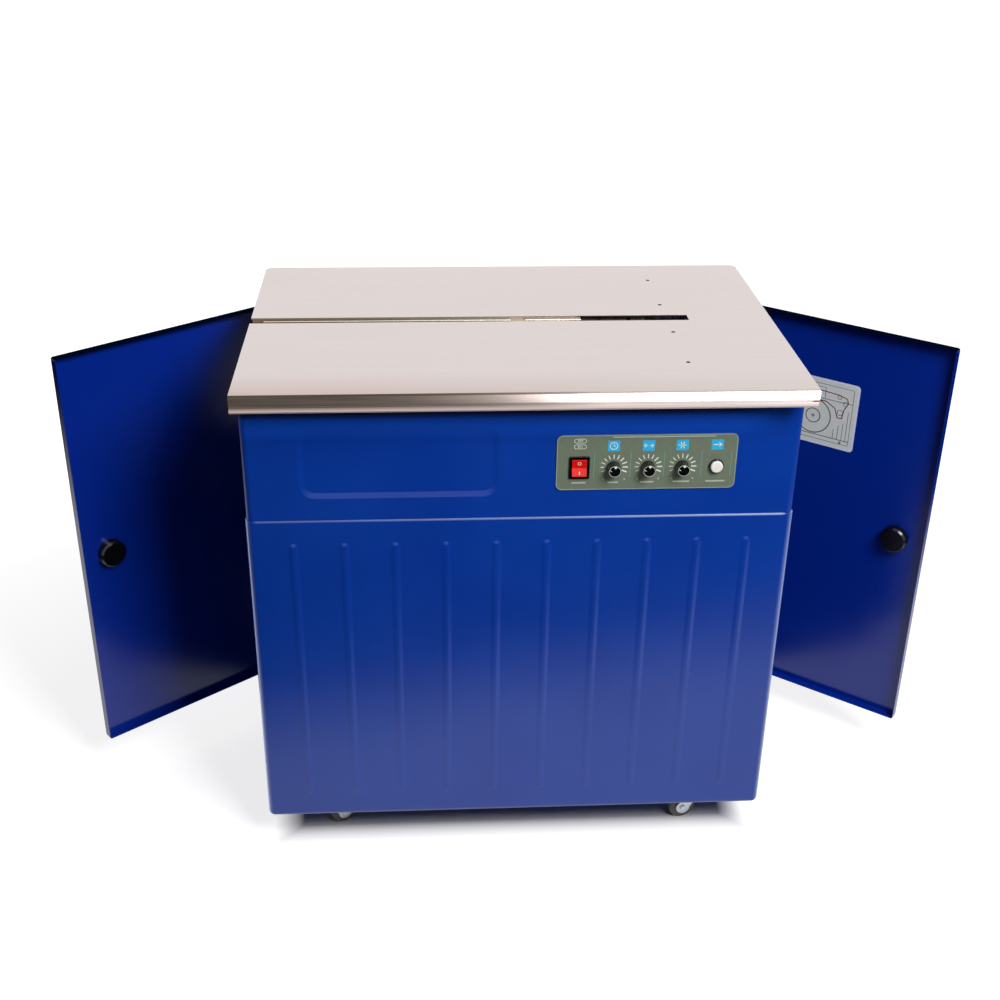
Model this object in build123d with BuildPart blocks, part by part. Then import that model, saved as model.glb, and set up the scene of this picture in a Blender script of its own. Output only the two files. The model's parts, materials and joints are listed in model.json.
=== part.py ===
from build123d import *
from math import cos, radians, sin
import os

os.makedirs("parts", exist_ok=True)

# Frame: millimetres, X to the right, the front faces -Y, Z up from the floor.
# The origin is on the floor under the middle of the table.

# Table
table_length = 830.0
table_depth = 580.0
table_height = 840.0
table_sheet = 2.0
table_rear_corner = 12.0
table_rear_fold = 20.0
lip_depth = 13.0
lip_face = 18.5
lip_top_bend = 2.5
lip_under_bend = 6.0
lip_bead = 9.0
lip_bulge = 0.9
lip_bead_setback = 0.8
lip_crease = 0.5
lip_slit_length = 24.0
lip_slit_height = 1.4
lip_slit_depth = 3.0
stop_hole_radius = 3.2
stop_hole_x = 246.0
stop_hole_spacing = 128.5
stop_hole_count = 4
stop_hole_middle_y = 14.0

# Strap slot in the table and the chute below it
slot_middle_y = 16.0
slot_width = 24.0
slot_left_x = 109.0
slot_right_x = 281.0
chute_depth = 5.0
chute_wall = 1.5
chute_end_gap = 2.0
guide_strip_width = 4.0
guide_strip_height = 4.2
guide_strip_rear_gap = 5.0
guide_strip_start = 20.0
guide_break_x = 8.5
guide_break = 23.0

# Cabinet sheet metal
cabinet_length = 822.0
cabinet_depth = 488.0
cabinet_bottom = 62.0
cabinet_sheet = 1.5
cabinet_corner = 11.0
cabinet_flange = 20.0
seam_height = 620.0
seam_gap = 0.6
lower_panel_step = 1.5
bottom_bend = 10.0
jamb_flange = 15.0
front_return_end = -178.0
rear_return_end = 225.0
base_sheet = 2.0
base_flange_height = 30.0
rail_height = 35.0
rail_flange = 20.0
cross_rail_width = 30.0
cross_rail_height = 25.0
cross_rail_sheet = 2.5
cross_rail_right_x = 306.0
cross_rail_left_x = -300.0
notch_clearance = 1.0

# Pressed features of the front
rib_count = 10
rib_spacing = 76.2
rib_width = 15.0
rib_crest = 4.0
rib_rise = 1.1
rib_low_z = 108.0
rib_high_z = 582.0
recess_x = -183.0
recess_z = 713.0
recess_length = 294.0
recess_height = 114.0
recess_radius = 24.0
recess_depth = 1.4
recess_slope_width = 9.0

# Control plate and its controls
plate_side_margin = 95.0
plate_z = 709.5
plate_length = 268.0
plate_height = 89.0
plate_radius = 9.0
plate_sheet = 1.6
window_margin = 12.0
control_z = 702.0
control_spacing = 51.0
switch_from_middle = 100.0
bezel_width = 31.0
bezel_height = 36.5
bezel_rise = 2.0
bezel_body_inset = 2.0
bezel_body_depth = 18.0
rocker_width = 21.8
rocker_radius = 13.4
rocker_gap = 0.3
rocker_tilt = 7.0
rocker_valley = 3.2
rocker_end = 5.2
knob_base_radius = 10.4
knob_face_radius = 9.2
knob_length = 14.5
knob_gap = 1.0
knob_shaft_radius = 3.0
knob_shaft_length = 12.0
pointer_width = 1.4
pointer_rise = 0.6
button_radius = 9.2
button_rise = 6.5
button_length = 14.0
button_clearance = 0.25
collar_radius = 11.2
collar_rise = 3.4
collar_barrel_radius = 10.1
collar_barrel_depth = 12.0
running_clearance = 0.05
control_box_depth = 46.0
control_box_sheet = 1.5

# Side doors
door_width = 389.5
door_bottom = 75.0
door_height = 724.0
door_depth = 16.0
door_sheet = 1.5
door_corner = 4.0
door_edge_radius = 1.4
door_angle = 51.7
door_edge_gap = 3.0
hinge_y = 222.0
hinge_radius = 4.5
hinge_stand_off = 5.5
hinge_pin_radius = 2.5
hinge_height = 60.0
hinge_leaf = 1.5
hinge_leaf_width = 21.0
hinge_relief = 6.0
hinge_gap = 0.3
lower_hinge_z = 190.0
upper_hinge_z = 690.0
pull_from_edge = 54.0
pull_z = 434.0
pull_flange_radius = 25.0
pull_flange = 2.0
pull_neck_radius = 20.0
pull_neck_clearance = 0.2
pull_back_radius = 23.5
pull_depth = 17.0
pull_recess_radius = 17.5
pull_recess_depth = 14.0
pull_bevel = 3.0

# Casters
caster_x = 312.0
caster_y = 190.0
caster_plate_length = 58.0
caster_plate_width = 48.0
caster_plate_thickness = 2.5
caster_hole_radius = 3.0
caster_hole_length = 44.0
caster_hole_width = 34.0
race_radius = 14.0
kingpin_radius = 4.0
kingpin_head_radius = 6.5
kingpin_head = 2.0
crown_radius = 17.0
crown_thickness = 3.0
swivel_gap = 0.3
wheel_radius = 23.0
wheel_width = 17.0
wheel_edge = 2.5
wheel_side_gap = 1.2
wheel_top_gap = 4.0
hub_radius = 7.0
caster_trail = 20.0
fork_leg = 2.5
fork_leg_foot = 12.0
axle_radius = 3.5
axle_head_radius = 5.5
axle_head = 3.0
front_left_turn = 28.0
front_right_turn = 190.0
rear_left_turn = 165.0
rear_right_turn = 182.0
pedal_width = 24.0
pedal_length = 26.0
pedal_thickness = 2.0
pedal_slope = 12.0

# Strapping head under the slot
head_left_x = 96.0
head_right_x = 288.0
head_height = 188.0
head_plate = 8.0
head_plate_spacing = 84.0
head_arm_left_x = 30.0
head_arm_height = 86.0
head_corner = 14.0
slide_plate_right_x = 183.0
slide_plate_depth = 3.0
slide_plate_thickness = 4.0
block_length = 22.0
block_width = 44.0
block_gap = 0.3
block_seat_gap = 0.3
cam_x = 190.0
cam_drop = 123.0
cam_shaft_radius = 10.0
cam_shaft_overhang = 6.0
cam_radius = 27.0
cam_offset = 6.0
cam_thickness = 9.0
cam_count = 4
cam_pitch = 15.0
roller_radius = 13.0
roller_shaft_radius = 5.0
roller_x = 60.0
roller_drop = 23.0
roller_gap = 1.2

# Gearbox, motor and belt
gearbox_length = 112.0
gearbox_height = 112.0
gearbox_depth = 60.0
gearbox_round = 10.0
motor_drop = 253.0
motor_radius = 58.0
motor_length = 132.0
motor_flange_radius = 62.0
motor_flange = 5.0
motor_fin_count = 24
motor_fin_rise = 3.0
motor_fin_width = 3.0
bracket_thickness = 4.0
bracket_length = 150.0
bracket_margin = 10.0
bracket_hole_radius = 12.0
belt_width = 10.0
belt_thickness = 3.0
belt_clearance = 0.2
pulley_rim = 2.0
pulley_rim_rise = 5.0
pulley_start_gap = 5.0
pulley_shaft_radius = 9.0
gearbox_pulley_radius = 46.0
motor_pulley_radius = 22.0

# Strap reel
reel_x = -130.0
reel_z = 330.0
reel_flange_radius = 205.0
reel_flange = 2.5
reel_width = 160.0
reel_hub_radius = 100.0
reel_hub_wall = 2.5
reel_shaft_radius = 12.0
reel_collar_radius = 20.0
stand_gap = 14.0
stand_plate = 5.0
stand_width = 60.0
stand_foot = 45.0
stand_top = 30.0

# Places that follow from the sizes above
table_underside = table_height - table_sheet
head_bottom_z = table_underside - head_height
head_arm_bottom_z = table_underside - head_arm_height
cam_z = table_underside - cam_drop
roller_upper_z = table_underside - roller_drop
motor_z = table_underside - motor_drop
cabinet_front = -cabinet_depth / 2
cabinet_side = cabinet_length / 2
plate_x = cabinet_side - plate_side_margin - plate_length / 2
switch_x = plate_x - switch_from_middle
lower_length = cabinet_length + 2 * lower_panel_step
lower_depth = cabinet_depth + 2 * lower_panel_step
floor_top = cabinet_bottom + cabinet_sheet
base_top = floor_top + base_sheet
plate_face_y = cabinet_front - plate_sheet
hinge_x = cabinet_side + hinge_stand_off
head_rear_y = slot_middle_y + head_plate_spacing / 2 + head_plate / 2
gearbox_rear_y = head_rear_y + gearbox_depth
bracket_rear_y = gearbox_rear_y + bracket_thickness
pulley_front_y = bracket_rear_y + pulley_start_gap
belt_front_y = pulley_front_y + pulley_rim


def finish(built, name):
    # Labels a finished piece and writes it.
    built.part.label = name
    export_step(built.part, "parts/" + name + ".step")


def front_plane(y):
    # Upright plane that faces the front: local x is X and local y is Z.
    return Plane(origin=(0, y, 0), x_dir=(1, 0, 0), z_dir=(0, -1, 0))


def turning_plane(x, z):
    # Plane through an axis along Y: local x is the radius and local y is Y.
    return Plane(origin=(x, 0, z), x_dir=(1, 0, 0), z_dir=(0, 0, 1))


def y_axis(x, z):
    return Axis((x, 0, z), (0, 1, 0))


def sheet_ring(length, depth, low, high, bend):
    # Closed ring of bent sheet with turned-in edges at its bottom and top.
    with BuildPart() as core:
        with BuildSketch(Plane.XY.offset(low + cabinet_sheet)):
            RectangleRounded(
                length - 2 * cabinet_sheet, depth - 2 * cabinet_sheet, cabinet_corner - cabinet_sheet
            )
        extrude(amount=high - low - 2 * cabinet_sheet)
        if bend > 0:
            fillet(core.faces().sort_by(Axis.Z)[0].edges(), bend - cabinet_sheet)
    with BuildPart() as ring:
        with BuildSketch(Plane.XY.offset(low)):
            RectangleRounded(length, depth, cabinet_corner)
        extrude(amount=high - low)
        if bend > 0:
            fillet(ring.faces().sort_by(Axis.Z)[0].edges(), bend)
        add(core.part, mode=Mode.SUBTRACT)
        with BuildSketch(Plane.XY.offset(low)):
            RectangleRounded(length - 2 * cabinet_flange, depth - 2 * cabinet_flange, cabinet_sheet)
        extrude(amount=high - low, mode=Mode.SUBTRACT)
    return ring.part


def wrap_panel(ring, length, low, high, return_end, side):
    # Front or rear wrap cut from a ring, with a jamb flange at each end.
    height = high - low
    reach = cabinet_depth
    with BuildPart() as wrap:
        add(ring)
        with Locations((0, return_end - side * reach / 2, low + height / 2)):
            Box(2 * length, reach, 2 * height, mode=Mode.SUBTRACT)
        for hand in (-1, 1):
            x = hand * (length / 2 - cabinet_sheet - (jamb_flange - cabinet_sheet) / 2)
            with Locations((x, return_end + side * cabinet_sheet / 2, low + height / 2)):
                Box(jamb_flange - cabinet_sheet, cabinet_sheet, height - 2 * bottom_bend)
    return wrap.part


def press_ribs(face_y, side):
    # Upright ribs pressed outwards in the sheet that ends at face_y.
    rib_height = rib_high_z - rib_low_z
    fall = rib_width - rib_crest
    for start, mode in ((face_y, Mode.ADD), (face_y - side * cabinet_sheet, Mode.SUBTRACT)):
        with BuildPart(mode=Mode.PRIVATE) as rib:
            sections = []
            for y, shrink in ((start, 0), (start + side * rib_rise, fall)):
                with BuildSketch(front_plane(y)) as section:
                    with Locations((0, (rib_low_z + rib_high_z) / 2)):
                        SlotOverall(rib_height - shrink, rib_width - shrink, rotation=90)
                sections.append(section.sketch)
            loft(sections, ruled=True)
        for i in range(rib_count):
            with Locations(((i - (rib_count - 1) / 2) * rib_spacing, 0, 0)):
                add(rib.part, mode=mode)


def press_recess(x, z, length, height, radius, depth, slope):
    # Shallow pressed recess in the front sheet: a boss behind and a dish in front.
    for shift, grow, mode in ((cabinet_sheet, cabinet_sheet, Mode.ADD), (0, 0, Mode.SUBTRACT)):
        with BuildSketch(front_plane(cabinet_front + shift)) as mouth:
            with Locations((x, z)):
                RectangleRounded(length + grow, height + grow, radius)
        with BuildSketch(front_plane(cabinet_front + shift + depth)) as bottom:
            with Locations((x, z)):
                RectangleRounded(
                    length + grow - 2 * slope, height + grow - 2 * slope, radius - slope
                )
        loft([mouth.sketch, bottom.sketch], mode=mode)


# Table: one stainless sheet with a folded lip and a bead in front and a fold behind
lip_y = -table_depth / 2 + lip_depth / 2
bead_y = -table_depth / 2 + lip_bead_setback + lip_bead / 2
lip_low_z = table_height - lip_face
bead_z = lip_low_z - lip_crease - lip_bead / 2
with BuildPart() as table_top:
    with BuildSketch(Plane.YZ.offset(-table_length / 2)) as lip_outline:
        with BuildLine():
            Polyline(
                (-table_depth / 2 + lip_bulge, lip_low_z), (-table_depth / 2 + lip_depth, lip_low_z),
                (-table_depth / 2 + lip_depth, table_height), (-table_depth / 2 + lip_bulge, table_height),
            )
            ThreePointArc(
                (-table_depth / 2 + lip_bulge, table_height), (-table_depth / 2, table_height - lip_face / 2),
                (-table_depth / 2 + lip_bulge, lip_low_z),
            )
        make_face()
        fillet(lip_outline.vertices().group_by(Axis.Y)[-1], lip_top_bend)
        fillet(lip_outline.vertices().group_by(Axis.Y)[0], lip_under_bend)
        with Locations((bead_y, (bead_z + lip_low_z) / 2)):
            Rectangle(lip_bead / 2, lip_low_z - bead_z + 2 * lip_crease)
        with Locations((bead_y, bead_z)):
            Circle(lip_bead / 2)
        with Locations(((lip_y + table_depth / 2) / 2, table_height - table_sheet / 2)):
            Rectangle(table_depth / 2 - lip_y, table_sheet)
        with Locations((table_depth / 2 - table_sheet / 2, table_height - table_rear_fold / 2)):
            Rectangle(table_sheet, table_rear_fold)
    extrude(amount=table_length)
    fillet(
        table_top.edges().filter_by(Axis.Z).filter_by_position(Axis.Y, table_depth / 2 - 0.1, table_depth),
        table_rear_corner,
    )
    with BuildSketch(Plane.XY.offset(table_height)):
        with Locations(((slot_right_x - table_length / 2) / 2, slot_middle_y)):
            Rectangle(slot_right_x + table_length / 2, slot_width)
        with Locations((stop_hole_x, stop_hole_middle_y)):
            with GridLocations(1, stop_hole_spacing, 1, stop_hole_count):
                Circle(stop_hole_radius)
    extrude(amount=-table_sheet, mode=Mode.SUBTRACT)
    slit_x = table_length / 2 - lip_slit_length / 2
    slit_y = -table_depth / 2 + lip_slit_depth / 2
    with Locations((slit_x, slit_y, lip_low_z - lip_crease / 2)):
        Box(lip_slit_length, lip_slit_depth, lip_slit_height, mode=Mode.SUBTRACT)
finish(table_top, "table_top")

# Chute below the slot, open at its left end
chute_left = -table_length / 2 + chute_end_gap
chute_right = slot_left_x
chute_floor = table_underside - chute_depth
chute_middle_x = (chute_left + chute_right) / 2
with BuildPart() as strap_chute:
    with Locations((chute_middle_x, slot_middle_y, chute_floor - chute_wall / 2)):
        Box(chute_right - chute_left, slot_width, chute_wall)
finish(strap_chute, "strap_chute")

wall_height = chute_depth + chute_wall
with BuildPart() as chute_walls:
    for side in (-1, 1):
        wall_y = slot_middle_y + side * (slot_width + chute_wall) / 2
        with Locations((chute_middle_x, wall_y, table_underside - wall_height / 2)):
            Box(chute_right - chute_left, chute_wall, wall_height)
finish(chute_walls, "chute_walls")

# Two polished strips that guide the strap along the rear of the chute
strip_y = slot_middle_y + slot_width / 2 - guide_strip_rear_gap - guide_strip_width / 2
strip_spans = (
    (-table_length / 2 + guide_strip_start, guide_break_x - guide_break / 2),
    (guide_break_x + guide_break / 2, chute_right),
)
with BuildPart() as guide_strips:
    for low_x, high_x in strip_spans:
        with Locations(((low_x + high_x) / 2, strip_y, chute_floor + guide_strip_height / 2)):
            Box(high_x - low_x, guide_strip_width, guide_strip_height)
    fillet(
        guide_strips.edges().filter_by(Axis.X).filter_by_position(Axis.Z, chute_floor + 1, table_height),
        guide_strip_width / 4,
    )
finish(guide_strips, "guide_strips")

# Cabinet panels
upper_low = seam_height + seam_gap
upper_ring = sheet_ring(cabinet_length, cabinet_depth, upper_low, table_underside, 0)
front_lower_ring = sheet_ring(lower_length, lower_depth, cabinet_bottom, seam_height, bottom_bend)
rear_lower_ring = sheet_ring(cabinet_length, cabinet_depth, cabinet_bottom, seam_height, bottom_bend)
front_upper_wrap = wrap_panel(upper_ring, cabinet_length, upper_low, table_underside, front_return_end, -1)
front_lower_wrap = wrap_panel(front_lower_ring, lower_length, cabinet_bottom, seam_height, front_return_end, -1)
rear_upper_wrap = wrap_panel(upper_ring, cabinet_length, upper_low, table_underside, rear_return_end, 1)
rear_lower_wrap = wrap_panel(rear_lower_ring, cabinet_length, cabinet_bottom, seam_height, rear_return_end, 1)

with BuildPart() as front_upper_panel:
    add(front_upper_wrap)
    press_recess(
        recess_x, recess_z, recess_length, recess_height, recess_radius, recess_depth, recess_slope_width
    )
    with BuildSketch(front_plane(cabinet_front + 2 * cabinet_sheet)):
        with Locations((plate_x, plate_z)):
            Rectangle(plate_length - 2 * window_margin, plate_height - 2 * window_margin)
    extrude(amount=3 * cabinet_sheet, mode=Mode.SUBTRACT)
finish(front_upper_panel, "front_upper_panel")

with BuildPart() as front_lower_panel:
    add(front_lower_wrap)
    press_ribs(-lower_depth / 2, -1)
finish(front_lower_panel, "front_lower_panel")

with BuildPart() as rear_upper_panel:
    add(rear_upper_wrap)
finish(rear_upper_panel, "rear_upper_panel")

with BuildPart() as rear_lower_panel:
    add(rear_lower_wrap)
    press_ribs(cabinet_depth / 2, 1)
finish(rear_lower_panel, "rear_lower_panel")

# Floor of the cabinet, lying on the turned-in edges of the lower panels
base_front = -lower_depth / 2 + bottom_bend
base_rear = cabinet_depth / 2 - bottom_bend
sill_front = front_return_end + door_edge_gap
sill_rear = rear_return_end - door_edge_gap
with BuildPart() as base_pan:
    with BuildSketch(Plane.XY.offset(floor_top)):
        with Locations((0, (base_front + base_rear) / 2)):
            Rectangle(cabinet_length - 2 * bottom_bend, base_rear - base_front)
        with Locations((0, (sill_front + sill_rear) / 2)):
            Rectangle(cabinet_length, sill_rear - sill_front)
    extrude(amount=base_sheet)
    for y in (base_front + base_sheet / 2, base_rear - base_sheet / 2):
        with Locations((0, y, base_top + base_flange_height / 2)):
            Box(cabinet_length - 2 * bottom_bend, base_sheet, base_flange_height)
finish(base_pan, "base_pan")

# Rails over the doorways, one each side, with a notch for the chute on the left
rail_length = rear_return_end - front_return_end
rail_middle = (rear_return_end + front_return_end) / 2
with BuildPart() as right_rail:
    with BuildSketch(Plane.XZ.offset(-rear_return_end)):
        with Locations((cabinet_side - rail_flange / 2, table_underside - rail_height / 2)):
            Rectangle(rail_flange, rail_height)
        with Locations((cabinet_side - cabinet_sheet - rail_flange / 2, table_underside - rail_height / 2)):
            Rectangle(rail_flange, rail_height - 2 * cabinet_sheet, mode=Mode.SUBTRACT)
    extrude(amount=rail_length)
notch_width = slot_width + 2 * chute_wall + 2 * notch_clearance
notch_depth = chute_depth + chute_wall + notch_clearance
with BuildPart() as side_rails:
    add(right_rail.part)
    mirror(right_rail.part, about=Plane.YZ)
    with Locations((-cabinet_side, slot_middle_y, table_underside - notch_depth / 2)):
        Box(4 * rail_flange, notch_width, notch_depth, mode=Mode.SUBTRACT)
finish(side_rails, "side_rails")

# Two channels that stiffen the table from below
cross_rail_length = cabinet_depth - 2 * cabinet_flange - 2 * cabinet_sheet
with BuildPart() as cross_rails:
    for x in (cross_rail_left_x, cross_rail_right_x):
        with BuildSketch(Plane.XZ.offset(-cross_rail_length / 2)):
            with Locations((x, table_underside - cross_rail_height / 2)):
                Rectangle(cross_rail_width, cross_rail_height)
            with Locations((x, table_underside - cross_rail_height / 2 - cross_rail_sheet)):
                Rectangle(cross_rail_width - 2 * cross_rail_sheet, cross_rail_height, mode=Mode.SUBTRACT)
        extrude(amount=cross_rail_length)
    with Locations((cross_rail_left_x, slot_middle_y, table_underside - notch_depth / 2)):
        Box(2 * cross_rail_width, notch_width, notch_depth, mode=Mode.SUBTRACT)
finish(cross_rails, "cross_rails")

# Strapping head: two side plates that hang from the table
with BuildPart() as head_plates:
    for side in (-1, 1):
        plate_y = slot_middle_y + side * head_plate_spacing / 2
        with BuildSketch(front_plane(plate_y + head_plate / 2)) as side_outline:
            with BuildLine():
                Polyline(
                    (head_arm_left_x, table_underside), (head_arm_left_x, head_arm_bottom_z),
                    (head_left_x, head_arm_bottom_z), (head_left_x, head_bottom_z),
                    (head_right_x, head_bottom_z), (head_right_x, table_underside), close=True,
                )
            make_face()
            fillet(side_outline.vertices().group_by(Axis.Y)[0], head_corner)
            with Locations((cam_x, cam_z)):
                Circle(cam_shaft_radius + running_clearance, mode=Mode.SUBTRACT)
            roller_places = [
                (roller_x, roller_upper_z),
                (roller_x, roller_upper_z - 2 * roller_radius - roller_gap),
            ]
            with Locations(*roller_places):
                Circle(roller_shaft_radius + running_clearance, mode=Mode.SUBTRACT)
        extrude(amount=head_plate)
finish(head_plates, "head_plates")

inner_front_y = slot_middle_y - head_plate_spacing / 2 + head_plate / 2
inner_rear_y = slot_middle_y + head_plate_spacing / 2 - head_plate / 2
plate_reach = inner_rear_y - inner_front_y
slide_top = table_underside - slide_plate_depth
slide_bottom = slide_top - slide_plate_thickness
with BuildPart() as slide_plate:
    with Locations(((slot_left_x + slide_plate_right_x) / 2, slot_middle_y, (slide_top + slide_bottom) / 2)):
        Box(slide_plate_right_x - slot_left_x, plate_reach, slide_plate_thickness)
    fillet(
        slide_plate.edges().filter_by(Axis.Y).filter_by_position(Axis.Z, slide_top - 0.1, slide_top + 0.1),
        slide_plate_thickness / 3,
    )
finish(slide_plate, "slide_plate")

# Three upright blocks between the cams and the slide plate
block_low = cam_z + cam_radius + cam_offset + block_seat_gap
with BuildPart() as gripper_blocks:
    for place, top in ((-1, slide_bottom), (0, slide_bottom), (1, slide_top)):
        x = cam_x - block_length / 2 + place * (block_length + block_gap)
        with Locations((x, slot_middle_y, (block_low + top) / 2)):
            Box(block_length, block_width, top - block_low)
    chamfer(gripper_blocks.edges().filter_by(Axis.Y).group_by(Axis.Z)[0], block_length / 6)
finish(gripper_blocks, "gripper_blocks")

with BuildPart() as cam_shaft:
    shaft_front_y = inner_front_y - head_plate - cam_shaft_overhang
    with BuildSketch(front_plane(head_rear_y)):
        with Locations((cam_x, cam_z)):
            Circle(cam_shaft_radius)
    extrude(amount=head_rear_y - shaft_front_y)
    for i in range(cam_count):
        y = slot_middle_y + (i - (cam_count - 1) / 2) * cam_pitch
        turn = radians(i * 360 / cam_count + 90)
        with BuildSketch(front_plane(y + cam_thickness / 2)):
            with Locations((cam_x + cam_offset * cos(turn), cam_z + cam_offset * sin(turn))):
                Circle(cam_radius)
        extrude(amount=cam_thickness)
finish(cam_shaft, "cam_shaft")

with BuildPart() as feed_rollers:
    for x, z in roller_places:
        with BuildSketch(front_plane(head_rear_y)):
            with Locations((x, z)):
                Circle(roller_shaft_radius)
        extrude(amount=plate_reach + 2 * head_plate)
        with BuildSketch(front_plane(inner_rear_y - roller_gap)):
            with Locations((x, z)):
                Circle(roller_radius)
        extrude(amount=plate_reach - 2 * roller_gap)
finish(feed_rollers, "feed_rollers")

# Gearbox behind the rear plate
with BuildPart() as gearbox:
    with BuildSketch(front_plane(gearbox_rear_y)):
        with Locations((cam_x, cam_z)):
            RectangleRounded(gearbox_length, gearbox_height, gearbox_round)
    extrude(amount=gearbox_depth)
    with BuildSketch(front_plane(gearbox_rear_y - gearbox_depth / 4)):
        with Locations((cam_x, cam_z)):
            RectangleRounded(
                gearbox_length + gearbox_round, gearbox_height + gearbox_round, gearbox_round * 1.5
            )
    extrude(amount=gearbox_depth / 6)
finish(gearbox, "gearbox")

# Bracket that carries the motor from the gearbox
bracket_low = motor_z - motor_flange_radius - bracket_margin
bracket_high = cam_z + gearbox_height / 2
with BuildPart() as motor_bracket:
    with BuildSketch(front_plane(bracket_rear_y)):
        with Locations((cam_x, (bracket_low + bracket_high) / 2)):
            RectangleRounded(bracket_length, bracket_high - bracket_low, gearbox_round)
        with Locations((cam_x, cam_z), (cam_x, motor_z)):
            Circle(bracket_hole_radius, mode=Mode.SUBTRACT)
    extrude(amount=bracket_thickness)
finish(motor_bracket, "motor_bracket")

with BuildPart() as motor:
    with BuildSketch(front_plane(gearbox_rear_y)):
        with Locations((cam_x, motor_z)):
            Circle(motor_flange_radius)
    extrude(amount=motor_flange)
    with BuildSketch(front_plane(gearbox_rear_y - motor_flange)):
        with Locations((cam_x, motor_z)):
            Circle(motor_radius - motor_fin_rise)
            with PolarLocations(motor_radius - motor_fin_rise, motor_fin_count):
                Rectangle(2 * motor_fin_rise, motor_fin_width)
    extrude(amount=motor_length - 3 * motor_flange)
    with BuildSketch(front_plane(gearbox_rear_y - motor_length + 2 * motor_flange)):
        with Locations((cam_x, motor_z)):
            Circle(motor_radius)
    extrude(amount=2 * motor_flange)
    fillet(motor.faces().sort_by(Axis.Y)[0].outer_wire().edges(), motor_flange)
finish(motor, "motor")

with BuildPart() as drive_pulleys:
    pulley_length = belt_width + 2 * pulley_rim
    for z, radius in ((cam_z, gearbox_pulley_radius), (motor_z, motor_pulley_radius)):
        with BuildSketch(turning_plane(cam_x, z)):
            with BuildLine():
                Polyline(
                    (0, gearbox_rear_y), (pulley_shaft_radius, gearbox_rear_y),
                    (pulley_shaft_radius, pulley_front_y), (radius + pulley_rim_rise, pulley_front_y),
                    (radius + pulley_rim_rise, belt_front_y), (radius, belt_front_y),
                    (radius, belt_front_y + belt_width), (radius + pulley_rim_rise, belt_front_y + belt_width),
                    (radius + pulley_rim_rise, pulley_front_y + pulley_length),
                    (0, pulley_front_y + pulley_length), close=True,
                )
            make_face()
        revolve(axis=y_axis(cam_x, z))
finish(drive_pulleys, "drive_pulleys")

with BuildPart() as drive_belt:
    for grow, mode in ((belt_clearance + belt_thickness, Mode.ADD), (belt_clearance, Mode.SUBTRACT)):
        with BuildSketch(front_plane(belt_front_y + belt_width - pulley_rim / 4)):
            with Locations((cam_x, cam_z)):
                Circle(gearbox_pulley_radius + grow)
            with Locations((cam_x, motor_z)):
                Circle(motor_pulley_radius + grow)
            make_hull()
        extrude(amount=belt_width - pulley_rim / 2, mode=mode)
finish(drive_belt, "drive_belt")

# Strap reel on its shaft and stand
reel_front_y = slot_middle_y - reel_width / 2
reel_rear_y = slot_middle_y + reel_width / 2
with BuildPart() as reel_flanges:
    for y, side in ((reel_front_y, -1), (reel_rear_y, 1)):
        with BuildSketch(front_plane(y + side * reel_flange / 2 + reel_flange / 2)):
            with Locations((reel_x, reel_z)):
                Circle(reel_flange_radius)
                Circle(reel_shaft_radius + running_clearance, mode=Mode.SUBTRACT)
        extrude(amount=reel_flange)
finish(reel_flanges, "reel_flanges")

with BuildPart() as reel_hub:
    with BuildSketch(front_plane(reel_rear_y)):
        with Locations((reel_x, reel_z)):
            Circle(reel_hub_radius)
            Circle(reel_hub_radius - reel_hub_wall, mode=Mode.SUBTRACT)
    extrude(amount=reel_width)
finish(reel_hub, "reel_hub")

stand_inner_front = reel_front_y - reel_flange - stand_gap
stand_inner_rear = reel_rear_y + reel_flange + stand_gap
with BuildPart() as reel_shaft:
    with BuildSketch(front_plane(stand_inner_rear + stand_plate)):
        with Locations((reel_x, reel_z)):
            Circle(reel_shaft_radius)
    extrude(amount=stand_inner_rear - stand_inner_front + 2 * stand_plate)
    for y in (reel_front_y - reel_flange, stand_inner_rear):
        with BuildSketch(front_plane(y)):
            with Locations((reel_x, reel_z)):
                Circle(reel_collar_radius)
        extrude(amount=stand_gap)
finish(reel_shaft, "reel_shaft")

with BuildPart() as reel_stand:
    for y, side in ((stand_inner_front, -1), (stand_inner_rear, 1)):
        with BuildSketch(front_plane(y + (side + 1) / 2 * stand_plate)):
            with Locations((reel_x, (base_top + reel_z) / 2)):
                Rectangle(stand_width, reel_z - base_top)
            with Locations((reel_x, reel_z)):
                Circle(stand_top)
                Circle(reel_shaft_radius + running_clearance, mode=Mode.SUBTRACT)
        extrude(amount=stand_plate)
        with Locations((reel_x, y + side * stand_foot / 2, base_top + stand_plate / 2)):
            Box(stand_width, stand_foot, stand_plate)
finish(reel_stand, "reel_stand")

# Box behind the control plate
panel_back_y = cabinet_front + cabinet_sheet
box_length = plate_length - window_margin
box_height = plate_height - window_margin
with BuildPart() as control_box:
    with BuildSketch(front_plane(panel_back_y + control_box_depth)):
        with Locations((plate_x, plate_z)):
            Rectangle(box_length, box_height)
    extrude(amount=control_box_depth)
    with BuildSketch(front_plane(panel_back_y + control_box_depth - control_box_sheet)):
        with Locations((plate_x, plate_z)):
            Rectangle(box_length - 2 * control_box_sheet, box_height - 2 * control_box_sheet)
    extrude(amount=control_box_depth, mode=Mode.SUBTRACT)
finish(control_box, "control_box")

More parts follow.
